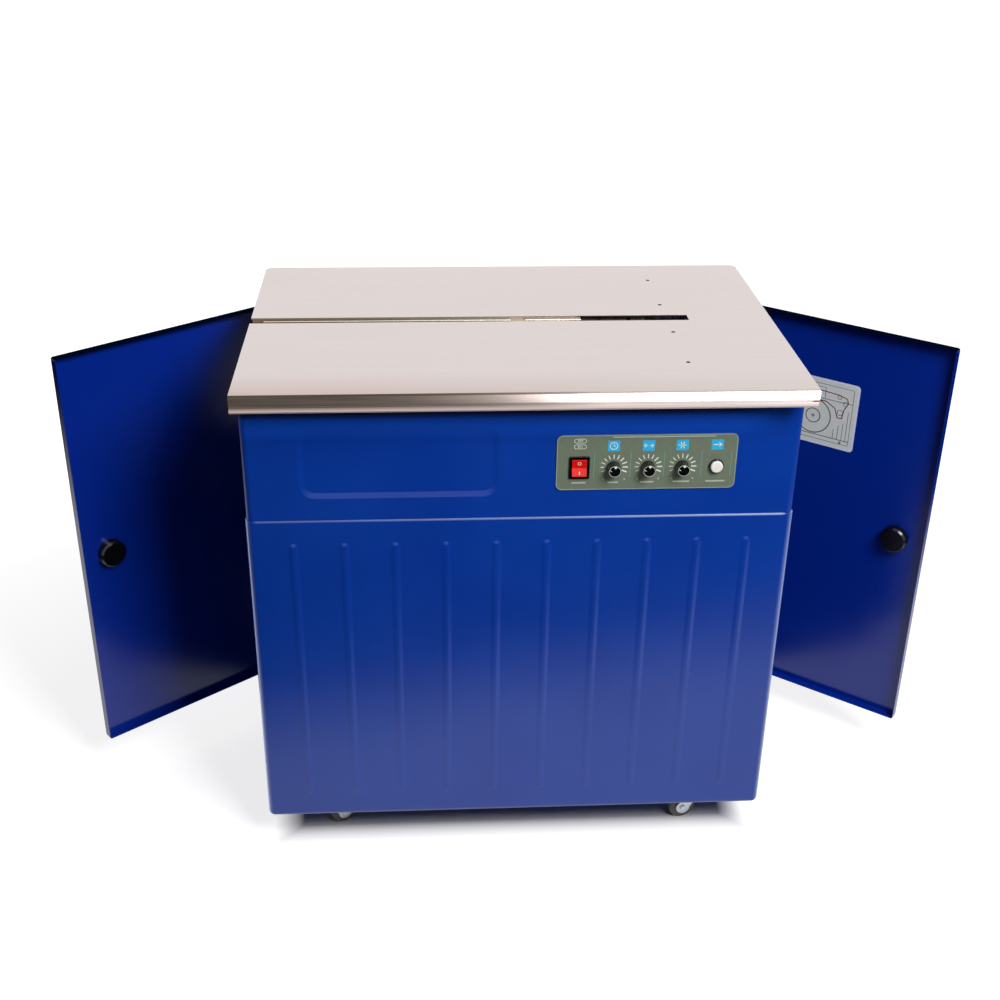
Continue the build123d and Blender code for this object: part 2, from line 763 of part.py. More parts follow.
# Control plate with the holes for its controls
knob_places = [(switch_x + (i + 1) * control_spacing, control_z) for i in range(3)]
button_x = switch_x + 4 * control_spacing
bezel_body_width = bezel_width - 2 * bezel_body_inset
bezel_body_height = bezel_height - 2 * bezel_body_inset
with BuildPart() as control_plate:
    with BuildSketch(front_plane(cabinet_front)):
        with Locations((plate_x, plate_z)):
            RectangleRounded(plate_length, plate_height, plate_radius)
        with Locations((switch_x, control_z)):
            Rectangle(
                bezel_body_width + 2 * running_clearance, bezel_body_height + 2 * running_clearance,
                mode=Mode.SUBTRACT,
            )
        with Locations(*knob_places):
            Circle(knob_shaft_radius + running_clearance, mode=Mode.SUBTRACT)
        with Locations((button_x, control_z)):
            Circle(collar_barrel_radius + running_clearance, mode=Mode.SUBTRACT)
    extrude(amount=plate_sheet)
finish(control_plate, "control_plate")

# Power switch
rocker_window_height = 2 * (rocker_radius + rocker_gap)
rocker_window_width = rocker_width + 2 * rocker_gap
with BuildPart() as switch_bezel:
    with BuildSketch(front_plane(plate_face_y)):
        with Locations((switch_x, control_z)):
            RectangleRounded(bezel_width, bezel_height, bezel_rise)
    extrude(amount=bezel_rise)
    chamfer(switch_bezel.faces().sort_by(Axis.Y)[0].edges(), bezel_rise / 3)
    with BuildSketch(front_plane(plate_face_y)):
        with Locations((switch_x, control_z)):
            Rectangle(bezel_body_width, bezel_body_height)
    extrude(amount=-bezel_body_depth)
    with BuildSketch(front_plane(plate_face_y - bezel_rise)):
        with Locations((switch_x, control_z)):
            Rectangle(rocker_window_width, rocker_window_height)
    extrude(amount=-bezel_rise - bezel_body_depth, mode=Mode.SUBTRACT)
finish(switch_bezel, "switch_bezel")

tilt = radians(rocker_tilt)
rocker_plane = Plane(
    origin=(switch_x - rocker_width / 2, plate_face_y, control_z),
    x_dir=(0, sin(tilt), cos(tilt)),
    z_dir=(1, 0, 0),
)
with BuildPart() as switch_rocker:
    with BuildSketch(rocker_plane):
        Circle(rocker_radius)
        with BuildLine():
            Polyline(
                (0, rocker_valley), (rocker_radius, rocker_end), (rocker_radius, 2 * rocker_radius),
                (-rocker_radius, 2 * rocker_radius), (-rocker_radius, rocker_end), close=True,
            )
        make_face(mode=Mode.SUBTRACT)
    extrude(amount=rocker_width)
finish(switch_rocker, "switch_rocker")

# Three knobs, each with its shaft through the plate
knob_back_y = plate_face_y - knob_gap
knob_front_y = knob_back_y - knob_length
for (knob_x, knob_z), name in zip(knob_places, ("timer_knob", "tension_knob", "cooling_knob")):
    with BuildPart() as knob:
        with BuildSketch(turning_plane(knob_x, knob_z)):
            with BuildLine():
                Polyline(
                    (0, knob_back_y + knob_shaft_length), (knob_shaft_radius, knob_back_y + knob_shaft_length),
                    (knob_shaft_radius, knob_back_y), (knob_base_radius, knob_back_y),
                    (knob_base_radius, knob_back_y - knob_gap), (knob_face_radius, knob_front_y + knob_gap),
                    (knob_face_radius - knob_gap, knob_front_y), (0, knob_front_y), close=True,
                )
            make_face()
        revolve(axis=y_axis(knob_x, knob_z))
        with BuildSketch(front_plane(knob_front_y)):
            with Locations((knob_x, knob_z + knob_face_radius / 2)):
                Rectangle(pointer_width, knob_face_radius - 2 * knob_gap)
        extrude(amount=pointer_rise)
    finish(knob, name)

# Push button in its collar
with BuildPart() as button_collar:
    with BuildSketch(front_plane(plate_face_y)):
        with Locations((button_x, control_z)):
            Circle(collar_radius)
    extrude(amount=collar_rise)
    chamfer(button_collar.faces().sort_by(Axis.Y)[0].edges(), collar_rise / 4)
    with BuildSketch(front_plane(plate_face_y)):
        with Locations((button_x, control_z)):
            Circle(collar_barrel_radius)
    extrude(amount=-collar_barrel_depth)
    with BuildSketch(front_plane(plate_face_y - collar_rise)):
        with Locations((button_x, control_z)):
            Circle(button_radius + button_clearance)
    extrude(amount=-collar_rise - collar_barrel_depth, mode=Mode.SUBTRACT)
finish(button_collar, "button_collar")

with BuildPart() as feed_button:
    with BuildSketch(front_plane(plate_face_y - button_rise + button_length)):
        with Locations((button_x, control_z)):
            Circle(button_radius)
    extrude(amount=button_length)
    chamfer(feed_button.faces().sort_by(Axis.Y)[0].edges(), button_radius / 8)
finish(feed_button, "feed_button")

# Doors: local x runs from the pin to the free edge, local y is Z, local z points inwards
swing = radians(door_angle)
door_plane = Plane(
    origin=(hinge_x, hinge_y, 0),
    x_dir=(sin(swing), -cos(swing), 0),
    z_dir=(-cos(swing), -sin(swing), 0),
)
door_middle = (door_edge_gap + door_width / 2, door_bottom + door_height / 2)
pull_place = (door_edge_gap + door_width - pull_from_edge, pull_z)
outer_face = door_plane.offset(hinge_stand_off)
with BuildPart() as right_door:
    with BuildSketch(outer_face):
        with Locations(door_middle):
            RectangleRounded(door_width, door_height, door_corner)
    extrude(amount=door_depth)
    skin = right_door.faces().sort_by(Axis((0, 0, 0), door_plane.z_dir))[0]
    fillet(skin.edges(), door_edge_radius)
    with BuildSketch(outer_face.offset(door_sheet)):
        with Locations(door_middle):
            RectangleRounded(
                door_width - 2 * door_sheet, door_height - 2 * door_sheet, door_corner - door_sheet
            )
    extrude(amount=door_depth, mode=Mode.SUBTRACT)
    with BuildSketch(outer_face):
        with Locations(pull_place):
            Circle(pull_neck_radius + pull_neck_clearance)
    extrude(amount=door_sheet, mode=Mode.SUBTRACT)
finish(right_door, "right_door")

pull_origin = outer_face.from_local_coords((pull_place[0], pull_place[1], 0))
pull_plane = Plane(origin=pull_origin, x_dir=door_plane.x_dir, z_dir=(0, 0, -1))
with BuildPart() as right_door_pull:
    with BuildSketch(pull_plane):
        with BuildLine():
            Polyline(
                (0, pull_depth), (pull_back_radius, pull_depth), (pull_back_radius, door_sheet),
                (pull_neck_radius, door_sheet), (pull_neck_radius, 0), (pull_flange_radius, 0),
                (pull_flange_radius, -pull_flange), (pull_recess_radius, -pull_flange),
                (pull_recess_radius, pull_recess_depth), (0, pull_recess_depth), close=True,
            )
        make_face()
    revolve(axis=Axis(pull_origin, door_plane.z_dir))
    back = right_door_pull.faces().sort_by(Axis((0, 0, 0), door_plane.z_dir))[-1]
    chamfer(back.edges(), pull_bevel)
finish(right_door_pull, "right_door_pull")

hinge_places = (lower_hinge_z, upper_hinge_z)
with BuildPart() as right_door_hinges:
    for z in hinge_places:
        with BuildSketch(Plane.XY.offset(z + hinge_gap)):
            with Locations((hinge_x, hinge_y)):
                Circle(hinge_radius)
        extrude(amount=hinge_height / 2 - hinge_gap)
        with BuildSketch(outer_face):
            with Locations((hinge_leaf_width / 2, z + hinge_height / 4 + hinge_gap / 2)):
                Rectangle(hinge_leaf_width, hinge_height / 2 - hinge_gap)
            with Locations(((hinge_leaf_width + hinge_relief) / 2, z)):
                Rectangle(hinge_leaf_width - hinge_relief, hinge_height)
        extrude(amount=-hinge_leaf)
        with BuildSketch(Plane.XY.offset(z)):
            with Locations((hinge_x, hinge_y)):
                Circle(hinge_pin_radius + running_clearance)
        extrude(amount=hinge_height / 2, mode=Mode.SUBTRACT)
finish(right_door_hinges, "right_door_hinges")

with BuildPart() as right_fixed_hinges:
    for z in hinge_places:
        with BuildSketch(Plane.XY.offset(z - hinge_height / 2)):
            with Locations((hinge_x, hinge_y)):
                Circle(hinge_radius)
        extrude(amount=hinge_height / 2)
        with BuildSketch(Plane.XY.offset(z - hinge_height / 2)):
            with Locations((hinge_x, hinge_y)):
                Circle(hinge_pin_radius)
        extrude(amount=hinge_height)
        leaf_x = cabinet_side + hinge_leaf / 2
        with Locations((leaf_x, hinge_y + hinge_leaf_width / 2, z - hinge_height / 4)):
            Box(hinge_leaf, hinge_leaf_width, hinge_height / 2)
        with Locations((leaf_x, hinge_y + (hinge_leaf_width + hinge_relief) / 2, z)):
            Box(hinge_leaf, hinge_leaf_width - hinge_relief, hinge_height)
with BuildPart() as fixed_hinges:
    add(right_fixed_hinges.part)
    mirror(right_fixed_hinges.part, about=Plane.YZ)
finish(fixed_hinges, "fixed_hinges")

for source, name in (
    (right_door, "left_door"), (right_door_pull, "left_door_pull"), (right_door_hinges, "left_door_hinges")
):
    with BuildPart() as left_piece:
        mirror(source.part, about=Plane.YZ)
    finish(left_piece, name)

# Casters: plate, race and kingpin stay with the cabinet
caster_plate_bottom = floor_top - caster_plate_thickness
crown_top = 2 * wheel_radius + wheel_top_gap + crown_thickness
crown_bottom = crown_top - crown_thickness
caster_corners = (
    (-caster_x, -caster_y), (caster_x, -caster_y), (-caster_x, caster_y), (caster_x, caster_y)
)
with BuildPart() as caster_plates:
    with BuildSketch(Plane.XY.offset(caster_plate_bottom)):
        for x, y in caster_corners:
            with Locations((x, y)):
                RectangleRounded(caster_plate_length, caster_plate_width, caster_hole_radius)
                with GridLocations(caster_hole_length, caster_hole_width, 2, 2):
                    Circle(caster_hole_radius, mode=Mode.SUBTRACT)
    extrude(amount=caster_plate_thickness)
    for radius, top, bottom in (
        (race_radius, caster_plate_bottom, crown_top + swivel_gap),
        (kingpin_radius, caster_plate_bottom, crown_bottom - swivel_gap),
        (kingpin_head_radius, crown_bottom - swivel_gap, crown_bottom - swivel_gap - kingpin_head),
    ):
        with BuildSketch(Plane.XY.offset(bottom)):
            with Locations(*caster_corners):
                Circle(radius)
        extrude(amount=top - bottom)
finish(caster_plates, "caster_plates")

leg_inner = wheel_width / 2 + wheel_side_gap
axle_half = leg_inner + fork_leg
caster_names = ("front_left", "front_right", "rear_left", "rear_right")
caster_turns = (front_left_turn, front_right_turn, rear_left_turn, rear_right_turn)
for name, (x, y), turn in zip(caster_names, caster_corners, caster_turns):
    forward = (cos(radians(turn)), sin(radians(turn)), 0)
    across = (-forward[1], forward[0], 0)
    # Side plane of the caster: local x is the trail, local y is Z, local z points to one side
    side_plane = Plane(origin=(x, y, 0), x_dir=forward, z_dir=(forward[1], -forward[0], 0))
    with BuildPart() as fork:
        with BuildSketch(Plane.XY.offset(crown_bottom)):
            with Locations((x, y)):
                Circle(crown_radius)
        extrude(amount=crown_thickness)
        for side in (-1, 1):
            start = leg_inner if side > 0 else -leg_inner - fork_leg
            with BuildSketch(side_plane.offset(start)):
                with BuildLine():
                    Polyline(
                        (-crown_radius * 0.6, crown_top), (crown_radius * 0.9, crown_top),
                        (caster_trail + fork_leg_foot, wheel_radius), (caster_trail - fork_leg_foot, wheel_radius),
                        close=True,
                    )
                make_face()
                with Locations((caster_trail, wheel_radius)):
                    Circle(fork_leg_foot)
            extrude(amount=fork_leg)
            head_start = axle_half if side > 0 else -axle_half - axle_head
            with BuildSketch(side_plane.offset(head_start)):
                with Locations((caster_trail, wheel_radius)):
                    RegularPolygon(axle_head_radius, 6)
            extrude(amount=axle_head)
        with BuildSketch(side_plane.offset(-axle_half)):
            with Locations((caster_trail, wheel_radius)):
                Circle(axle_radius)
        extrude(amount=2 * axle_half)
        if name.startswith("front"):
            pedal_root = (crown_radius * 0.7, crown_top - pedal_thickness)
            drop = pedal_length * sin(radians(pedal_slope))
            run = pedal_length * cos(radians(pedal_slope))
            with BuildSketch(side_plane.offset(-pedal_width / 2)):
                with BuildLine():
                    Polyline(
                        pedal_root, (pedal_root[0] + run, pedal_root[1] - drop),
                        (pedal_root[0] + run, pedal_root[1] - drop + pedal_thickness),
                        (pedal_root[0], pedal_root[1] + pedal_thickness), close=True,
                    )
                make_face()
            extrude(amount=pedal_width)
        with BuildSketch(Plane.XY.offset(crown_bottom)):
            with Locations((x, y)):
                Circle(kingpin_radius + running_clearance)
        extrude(amount=crown_thickness, mode=Mode.SUBTRACT)
    finish(fork, name + "_fork")
    with BuildPart() as wheel:
        with BuildSketch(side_plane.offset(-wheel_width / 2)):
            with Locations((caster_trail, wheel_radius)):
                Circle(wheel_radius)
        extrude(amount=wheel_width)
        chamfer(wheel.edges(), wheel_edge)
        with BuildSketch(side_plane.offset(-leg_inner + swivel_gap)):
            with Locations((caster_trail, wheel_radius)):
                Circle(hub_radius)
        extrude(amount=2 * (leg_inner - swivel_gap))
        with BuildSketch(side_plane.offset(-leg_inner)):
            with Locations((caster_trail, wheel_radius)):
                Circle(axle_radius + running_clearance)
        extrude(amount=2 * leg_inner, mode=Mode.SUBTRACT)
    finish(wheel, name + "_wheel")
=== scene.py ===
import json
import math

import bmesh
import bpy
from mathutils import Matrix, Vector


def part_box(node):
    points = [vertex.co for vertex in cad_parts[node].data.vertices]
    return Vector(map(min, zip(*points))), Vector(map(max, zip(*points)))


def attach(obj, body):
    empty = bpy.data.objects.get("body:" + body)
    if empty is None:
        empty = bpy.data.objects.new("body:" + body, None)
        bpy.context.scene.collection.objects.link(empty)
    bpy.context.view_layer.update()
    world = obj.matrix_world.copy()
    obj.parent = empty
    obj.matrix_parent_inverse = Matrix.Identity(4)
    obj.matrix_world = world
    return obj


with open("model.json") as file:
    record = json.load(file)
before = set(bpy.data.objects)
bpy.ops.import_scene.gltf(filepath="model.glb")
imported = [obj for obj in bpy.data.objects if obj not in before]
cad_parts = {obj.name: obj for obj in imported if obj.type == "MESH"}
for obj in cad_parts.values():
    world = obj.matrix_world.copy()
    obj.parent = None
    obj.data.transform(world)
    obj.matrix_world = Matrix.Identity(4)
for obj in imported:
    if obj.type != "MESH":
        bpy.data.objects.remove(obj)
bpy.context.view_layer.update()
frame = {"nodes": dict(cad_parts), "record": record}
print("frame loaded:", len(frame["nodes"]), "nodes")

mm = 0.001
scene = bpy.context.scene
scene.view_settings.view_transform = "Standard"


def hexColour(text):
    parts = [int(text[i:i + 2], 16) / 255 for i in (1, 3, 5)]
    return tuple(c / 12.92 if c <= 0.04045 else ((c + 0.055) / 1.055) ** 2.4 for c in parts) + (1.0,)


# materials

def addNode(tree, kind, inputs=(), **settings):
    # inputs come by name or in order; each is a value, a socket, or a node that gives its first output
    node = tree.nodes.new(kind)
    for name, value in settings.items():
        setattr(node, name, value)
    byName = inputs if isinstance(inputs, dict) else dict(enumerate(inputs))
    for key, value in byName.items():
        if isinstance(value, bpy.types.Node):
            value = value.outputs[0]
        if isinstance(value, bpy.types.NodeSocket):
            tree.links.new(value, node.inputs[key])
        else:
            node.inputs[key].default_value = value
    return node


def startMaterial(name):
    material = bpy.data.materials.new(name)
    material.use_nodes = True
    tree = material.node_tree
    tree.nodes.clear()
    place = addNode(tree, "ShaderNodeTexCoord").outputs["Object"]
    return material, tree, place


swing = (0.3, 0.7)  # a grain's dips and crests


def grain(tree, place, size, detail=2.0, stretch=(1, 1, 1)):
    # a cloudy pattern with patches of about one size, drawn out along x, y or z by the stretch
    finer = tuple(1 / (size * s) for s in stretch)
    scaled = addNode(tree, "ShaderNodeMapping", {"Vector": place, "Scale": finer}, vector_type="POINT")
    return addNode(tree, "ShaderNodeTexNoise", {
        "Vector": scaled, "Scale": 1.0, "Detail": detail, "Roughness": 0.5}, noise_dimensions="3D")


def zone(tree, *fades):
    # a mask: each fade runs from 0 at its first place to 1 at its second, and the mask is their product
    mask = 1.0
    for value, start, end in fades:
        fade = addNode(tree, "ShaderNodeMapRange", (value, start, end))
        mask = addNode(tree, "ShaderNodeMath", (mask, fade), operation="MULTIPLY")
    return mask


def coats(tree, base, *layers):
    # colours laid over a base one after the other, each through its mask
    colour = hexColour(base) if isinstance(base, str) else base
    for mask, over in layers:
        over = hexColour(over) if isinstance(over, str) else over
        colour = addNode(tree, "ShaderNodeMix", {0: mask, 6: colour, 7: over}, data_type="RGBA").outputs[2]
    return colour


edgeTurn = (0.86, 0.995)  # cosine between rounded and flat surface, on an edge and off it


def edgeMask(tree, rounded):
    # 1 on rounded edges and 0 on flat faces
    flat = addNode(tree, "ShaderNodeNewGeometry").outputs["Normal"]
    same = addNode(tree, "ShaderNodeVectorMath", (rounded, flat), operation="DOT_PRODUCT").outputs["Value"]
    return addNode(tree, "ShaderNodeMapRange", (same, *edgeTurn, 1.0, 0.0))


# in the dictionaries below, a pair of places is where a fade starts and where it is full
paint = {
    "colour": "#053A9C", "deepColour": "#033495", "cloud": 170 * mm, "edgeColour": "#2C58AE", "edge": 0.9 * mm,
    "wear": 40 * mm, "wearShare": (0.25, 0.6), "doorColour": "#02278F", "door": (412 * mm, 416.5 * mm),
    "doorTopShadeColour": "#030B22", "rim": (795.6 * mm, 797.4 * mm), "rimRoughness": 0.75,
    "front": (-233 * mm, -238 * mm), "shadowLiftColour": "#0B58E0", "high": (750 * mm, 783 * mm),
    "highEnd": (400 * mm, 320 * mm), "contactShadeColour": "#041A52", "top": (783 * mm, 791 * mm),
    "sheenColour": "#B9CAF4", "sheen": 0.62, "upperSheen": 0.12, "corner": (402.5 * mm, 411 * mm),
    "seamFoot": (616.8 * mm, 619 * mm), "seamTop": (620.2 * mm, 620.8 * mm), "seamEnds": (401 * mm, 394 * mm),
    "seamAcross": (-300 * mm, 400 * mm, 0.35, 1.2), "reflectionSide": (1 * mm, -1 * mm), "reflectionMetallic": 0.8,
    "roughness": (0.19, 0.23), "shineCloud": 120 * mm, "ior": 1.45, "specular": (0.58, 0.5),
    "peel": 1.7 * mm, "peelDepth": 0.02 * mm, "peelStrength": 0.55,
}


def powderCoat():
    # folded steel under baked powder coat: a deep even blue, soft sheen, fine orange peel, a painted highlight
    # on its front corners and on the lower panel's top edge, a painted metal-like reflection at the left
    # corner, darker doors, painted shade on the door tops and painted light and shade close under the table
    material, tree, place = startMaterial("blue_powder_coat_satin")
    rounded = addNode(tree, "ShaderNodeBevel", {"Radius": paint["edge"]}, samples=4)
    x, y, z = addNode(tree, "ShaderNodeSeparateXYZ", (place,)).outputs
    sideways = addNode(tree, "ShaderNodeMath", (x,), operation="ABSOLUTE")
    patches = addNode(tree, "ShaderNodeMapRange", (
        grain(tree, place, paint["wear"]), *swing, *paint["wearShare"]))
    worn = addNode(tree, "ShaderNodeMath", (edgeMask(tree, rounded), patches), operation="MULTIPLY")
    onDoor = zone(tree, (sideways, *paint["door"]))
    # painted shade: the doors' top edges are painted near black, dull and without gloss
    onRim = zone(tree, (z, *paint["rim"]), (sideways, *paint["door"]))
    onFront = zone(tree, (y, *paint["front"]), (sideways, *reversed(paint["door"])))
    # painted light and shade: the table's shadow is kept short by brighter blue painted close under the table,
    # and painted shade darkens the blue where it meets the table
    high = zone(tree, (z, *paint["high"]), (onFront, 0.0, 1.0), (x, *paint["highEnd"]))
    top = zone(tree, (z, *paint["top"]), (high, 0.0, 1.0))
    # painted highlight: pale light along the round front corners and on the seam, weaker on the upper panel
    atCorner = zone(tree, (sideways, *paint["corner"]))
    edgeLight = addNode(tree, "ShaderNodeMath", (atCorner, 2.0), operation="POWER")
    belowSeam = addNode(tree, "ShaderNodeMapRange", (z, *paint["seamTop"], 1.0, paint["upperSheen"]))
    corner = addNode(tree, "ShaderNodeMath", (edgeLight, belowSeam), operation="MULTIPLY")
    along = addNode(tree, "ShaderNodeMapRange", (x, *paint["seamAcross"]))
    onSeam = zone(tree, (z, *paint["seamFoot"]), (z, *reversed(paint["seamTop"])),
                  (sideways, *paint["seamEnds"]))
    seam = addNode(tree, "ShaderNodeMath", (onSeam, along), operation="MULTIPLY")
    light = addNode(tree, "ShaderNodeMath", (corner, seam), operation="MAXIMUM")
    sheen = addNode(tree, "ShaderNodeMath", (light, paint["sheen"]), operation="MULTIPLY")
    sheen = addNode(tree, "ShaderNodeMath", (sheen, onFront), operation="MULTIPLY", use_clamp=True)
    clouds = zone(tree, (grain(tree, place, paint["cloud"]), *swing))
    colour = coats(tree, paint["deepColour"], (clouds, paint["colour"]), (worn, paint["edgeColour"]),
                   (onDoor, paint["doorColour"]), (onRim, paint["doorTopShadeColour"]), (high, paint["shadowLiftColour"]),
                   (top, paint["contactShadeColour"]), (sheen, paint["sheenColour"]))
    dull = addNode(tree, "ShaderNodeMath", (onRim, paint["rimRoughness"]), operation="MULTIPLY")
    shine = addNode(tree, "ShaderNodeMapRange", (
        grain(tree, place, paint["shineCloud"], 1), *swing, *paint["roughness"]))
    # painted reflection: the left front corner is made partly metallic so that its pale colour mirrors the
    # room like a highlight
    cornerReflection = zone(tree, (corner, 0.0, 1.0), (onFront, 0.0, 1.0), (x, *paint["reflectionSide"]))
    offRim = addNode(tree, "ShaderNodeMath", (1.0, onRim), operation="SUBTRACT")
    mirror = addNode(tree, "ShaderNodeMapRange", (onDoor, 0.0, 1.0, *paint["specular"]))
    surface = addNode(tree, "ShaderNodeBump", {
        "Height": grain(tree, place, paint["peel"], 1), "Distance": paint["peelDepth"],
        "Strength": paint["peelStrength"], "Normal": rounded})
    shader = addNode(tree, "ShaderNodeBsdfPrincipled", {
        "Base Color": colour, "Normal": surface, "IOR": paint["ior"],
        "Roughness": addNode(tree, "ShaderNodeMath", (shine, dull), operation="MAXIMUM"),
        "Metallic": addNode(tree, "ShaderNodeMath", (cornerReflection, paint["reflectionMetallic"]), operation="MULTIPLY"),
        "Specular IOR Level": addNode(tree, "ShaderNodeMath", (offRim, mirror), operation="MULTIPLY")})
    addNode(tree, "ShaderNodeOutputMaterial", {"Surface": shader})
    return material


steel = {
    "colour": "#DDD3D1", "streakColour": "#D8CDCA", "line": 0.9 * mm, "lineDraw": (220, 1, 1),
    "lineDepth": 0.006 * mm, "lineStrength": 0.25, "lineRoughness": (-0.02, 0.02), "cloud": 110 * mm,
    "cloudDraw": (2, 1, 1), "roughness": (0.24, 0.34), "edge": 0.5 * mm,
    "tintColour": "#A98C6A", "tintAcross": (-375 * mm, -413 * mm), "tintDeep": (-268 * mm, -289 * mm),
    "frontShadeColour": "#CBB6B0", "frontFade": (-200 * mm, -289 * mm), "frontCurve": 1.3,
    "frontAcross": (-250 * mm, 350 * mm, 1.0, 0.3),
    "lipLeans": ((812.6, 815.2, -40, 12), (815.2, 823, 0, 6), (823, 826.5, 0, 15), (826.5, 837.4, 0, 4),
                 (837.4, 839.9, 0, 53)),
    "lipShare": 0.92, "lipFace": (-286.2 * mm, -286.9 * mm), "beadFace": (-282.5 * mm, -283.5 * mm),
    "beadTop": (824 * mm, 823 * mm), "lipReflectionDark": "#3A352B", "lipDarkAcross": (-415 * mm, 115 * mm),
    "lipDarkCurve": 4.4, "lipDarkUp": (815.8 * mm, 821.3 * mm), "lipStreaks": (0.88, 1.0),
    "wallShadeColour": "#43362C", "wallRoughness": 0.6, "wallFacing": (0.6, 0.3), "channelColour": "#958776",
    "channelEnd": (100 * mm, 108 * mm), "insideFront": (-281 * mm, -279 * mm),
    "insideRear": (250 * mm, 240 * mm), "insideEnds": (414.3 * mm, 413.3 * mm),
    "slitAlong": (404 * mm, 408 * mm), "slitLow": (820.1 * mm, 820.7 * mm),
    "slitHigh": (822.9 * mm, 822.3 * mm),
}


def rolledLip(tree, y, z, rounded):
    # the lip is rolled from one sheet: its normal leans back smoothly from bead to bend, in mm and degrees
    lean = 0.0
    for low, high, *angles in steel["lipLeans"]:
        part = addNode(tree, "ShaderNodeMapRange", (z, low * mm, high * mm, *map(math.radians, angles)))
        lean = addNode(tree, "ShaderNodeMath", (lean, part), operation="ADD")
    level = addNode(tree, "ShaderNodeMath", (lean,), operation="COSINE")
    outward = addNode(tree, "ShaderNodeMath", (level, -1.0), operation="MULTIPLY")
    upward = addNode(tree, "ShaderNodeMath", (lean,), operation="SINE")
    leaning = addNode(tree, "ShaderNodeVectorTransform", (
        addNode(tree, "ShaderNodeCombineXYZ", (0.0, outward, upward)),),
        vector_type="NORMAL", convert_from="OBJECT", convert_to="WORLD")
    onBead = zone(tree, (y, *steel["beadFace"]), (z, *steel["beadTop"]))
    onLip = addNode(tree, "ShaderNodeMath", (zone(tree, (y, *steel["lipFace"])), onBead), operation="MAXIMUM")
    share = addNode(tree, "ShaderNodeMath", (onLip, steel["lipShare"]), operation="MULTIPLY")
    mixed = addNode(tree, "ShaderNodeMix", {0: share, 4: rounded, 5: leaning}, data_type="VECTOR").outputs[1]
    return addNode(tree, "ShaderNodeVectorMath", (mixed,), operation="NORMALIZE")


def brushedStainless():
    # stainless sheet brushed along its length: pale warm grey, long fine lines, cloudy hand marks, a weld tint
    # at the left front corner; the real lines are near 0.15 mm and drawn at 0.9 mm so that they show
    material, tree, place = startMaterial("stainless_sheet_brushed")
    rounded = addNode(tree, "ShaderNodeBevel", {"Radius": steel["edge"]}, samples=4)
    x, y, z = addNode(tree, "ShaderNodeSeparateXYZ", (place,)).outputs
    lines = grain(tree, place, steel["line"], 2, steel["lineDraw"])
    welded = zone(tree, (x, *steel["tintAcross"]), (y, *steel["tintDeep"]))
    # painted shade: the table gets darker and pinker towards its front, most towards the left
    forward = zone(tree, (y, *steel["frontFade"]))
    towardFront = addNode(tree, "ShaderNodeMath", (forward, steel["frontCurve"]), operation="POWER")
    across = addNode(tree, "ShaderNodeMapRange", (x, *steel["frontAcross"]))
    nearFront = addNode(tree, "ShaderNodeMath", (across, towardFront), operation="MULTIPLY")
    # painted reflection: the lip's left half is painted dark, as rolled steel looks beside a dark wall
    along = zone(tree, (x, *steel["lipDarkAcross"]))
    toRight = addNode(tree, "ShaderNodeMath", (along, steel["lipDarkCurve"]), operation="POWER")
    leftLip = zone(tree, (y, *steel["lipFace"]), (z, *steel["lipDarkUp"]), (toRight, 1.0, 0.0))
    streaks = addNode(tree, "ShaderNodeMapRange", (lines, *swing, *steel["lipStreaks"]))
    shaded = addNode(tree, "ShaderNodeMath", (leftLip, streaks), operation="MULTIPLY")
    # painted shade: cut walls of the slot and the holes, and the slit at the lip's end, are painted dull and
    # dark, a lighter brown along the channel's left part
    facing = addNode(tree, "ShaderNodeNewGeometry").outputs["True Normal"]
    rise = addNode(tree, "ShaderNodeSeparateXYZ", (facing,)).outputs["Z"]
    flatness = addNode(tree, "ShaderNodeMath", (rise,), operation="ABSOLUTE")
    sideways = addNode(tree, "ShaderNodeMath", (x,), operation="ABSOLUTE")
    cutWall = zone(tree, (flatness, *steel["wallFacing"]), (y, *steel["insideFront"]),
                   (y, *steel["insideRear"]), (sideways, *steel["insideEnds"]))
    slit = zone(tree, (x, *steel["slitAlong"]), (z, *steel["slitLow"]), (z, *steel["slitHigh"]))
    dull = addNode(tree, "ShaderNodeMath", (cutWall, slit), operation="MAXIMUM")
    pastChannel = zone(tree, (x, *steel["channelEnd"]))
    wallTone = coats(tree, steel["channelColour"], (pastChannel, steel["wallShadeColour"]))
    colour = coats(tree, steel["streakColour"], (zone(tree, (lines, *swing)), steel["colour"]),
                   (welded, steel["tintColour"]), (nearFront, steel["frontShadeColour"]),
                   (shaded, steel["lipReflectionDark"]), (dull, wallTone))
    clouds = addNode(tree, "ShaderNodeMapRange", (
        grain(tree, place, steel["cloud"], 3, steel["cloudDraw"]), *swing, *steel["roughness"]))
    scratches = addNode(tree, "ShaderNodeMapRange", (lines, *swing, *steel["lineRoughness"]))
    smudged = addNode(tree, "ShaderNodeMath", (clouds, scratches), operation="ADD")
    matt = addNode(tree, "ShaderNodeMath", (dull, steel["wallRoughness"]), operation="MULTIPLY")
    brushed = addNode(tree, "ShaderNodeBump", {
        "Height": lines, "Distance": steel["lineDepth"], "Strength": steel["lineStrength"],
        "Normal": rolledLip(tree, y, z, rounded)})
    shader = addNode(tree, "ShaderNodeBsdfPrincipled", {
        "Base Color": colour, "Metallic": 1.0, "Normal": brushed,
        "Roughness": addNode(tree, "ShaderNodeMath", (smudged, matt), operation="MAXIMUM")})
    addNode(tree, "ShaderNodeOutputMaterial", {"Surface": shader})
    return material


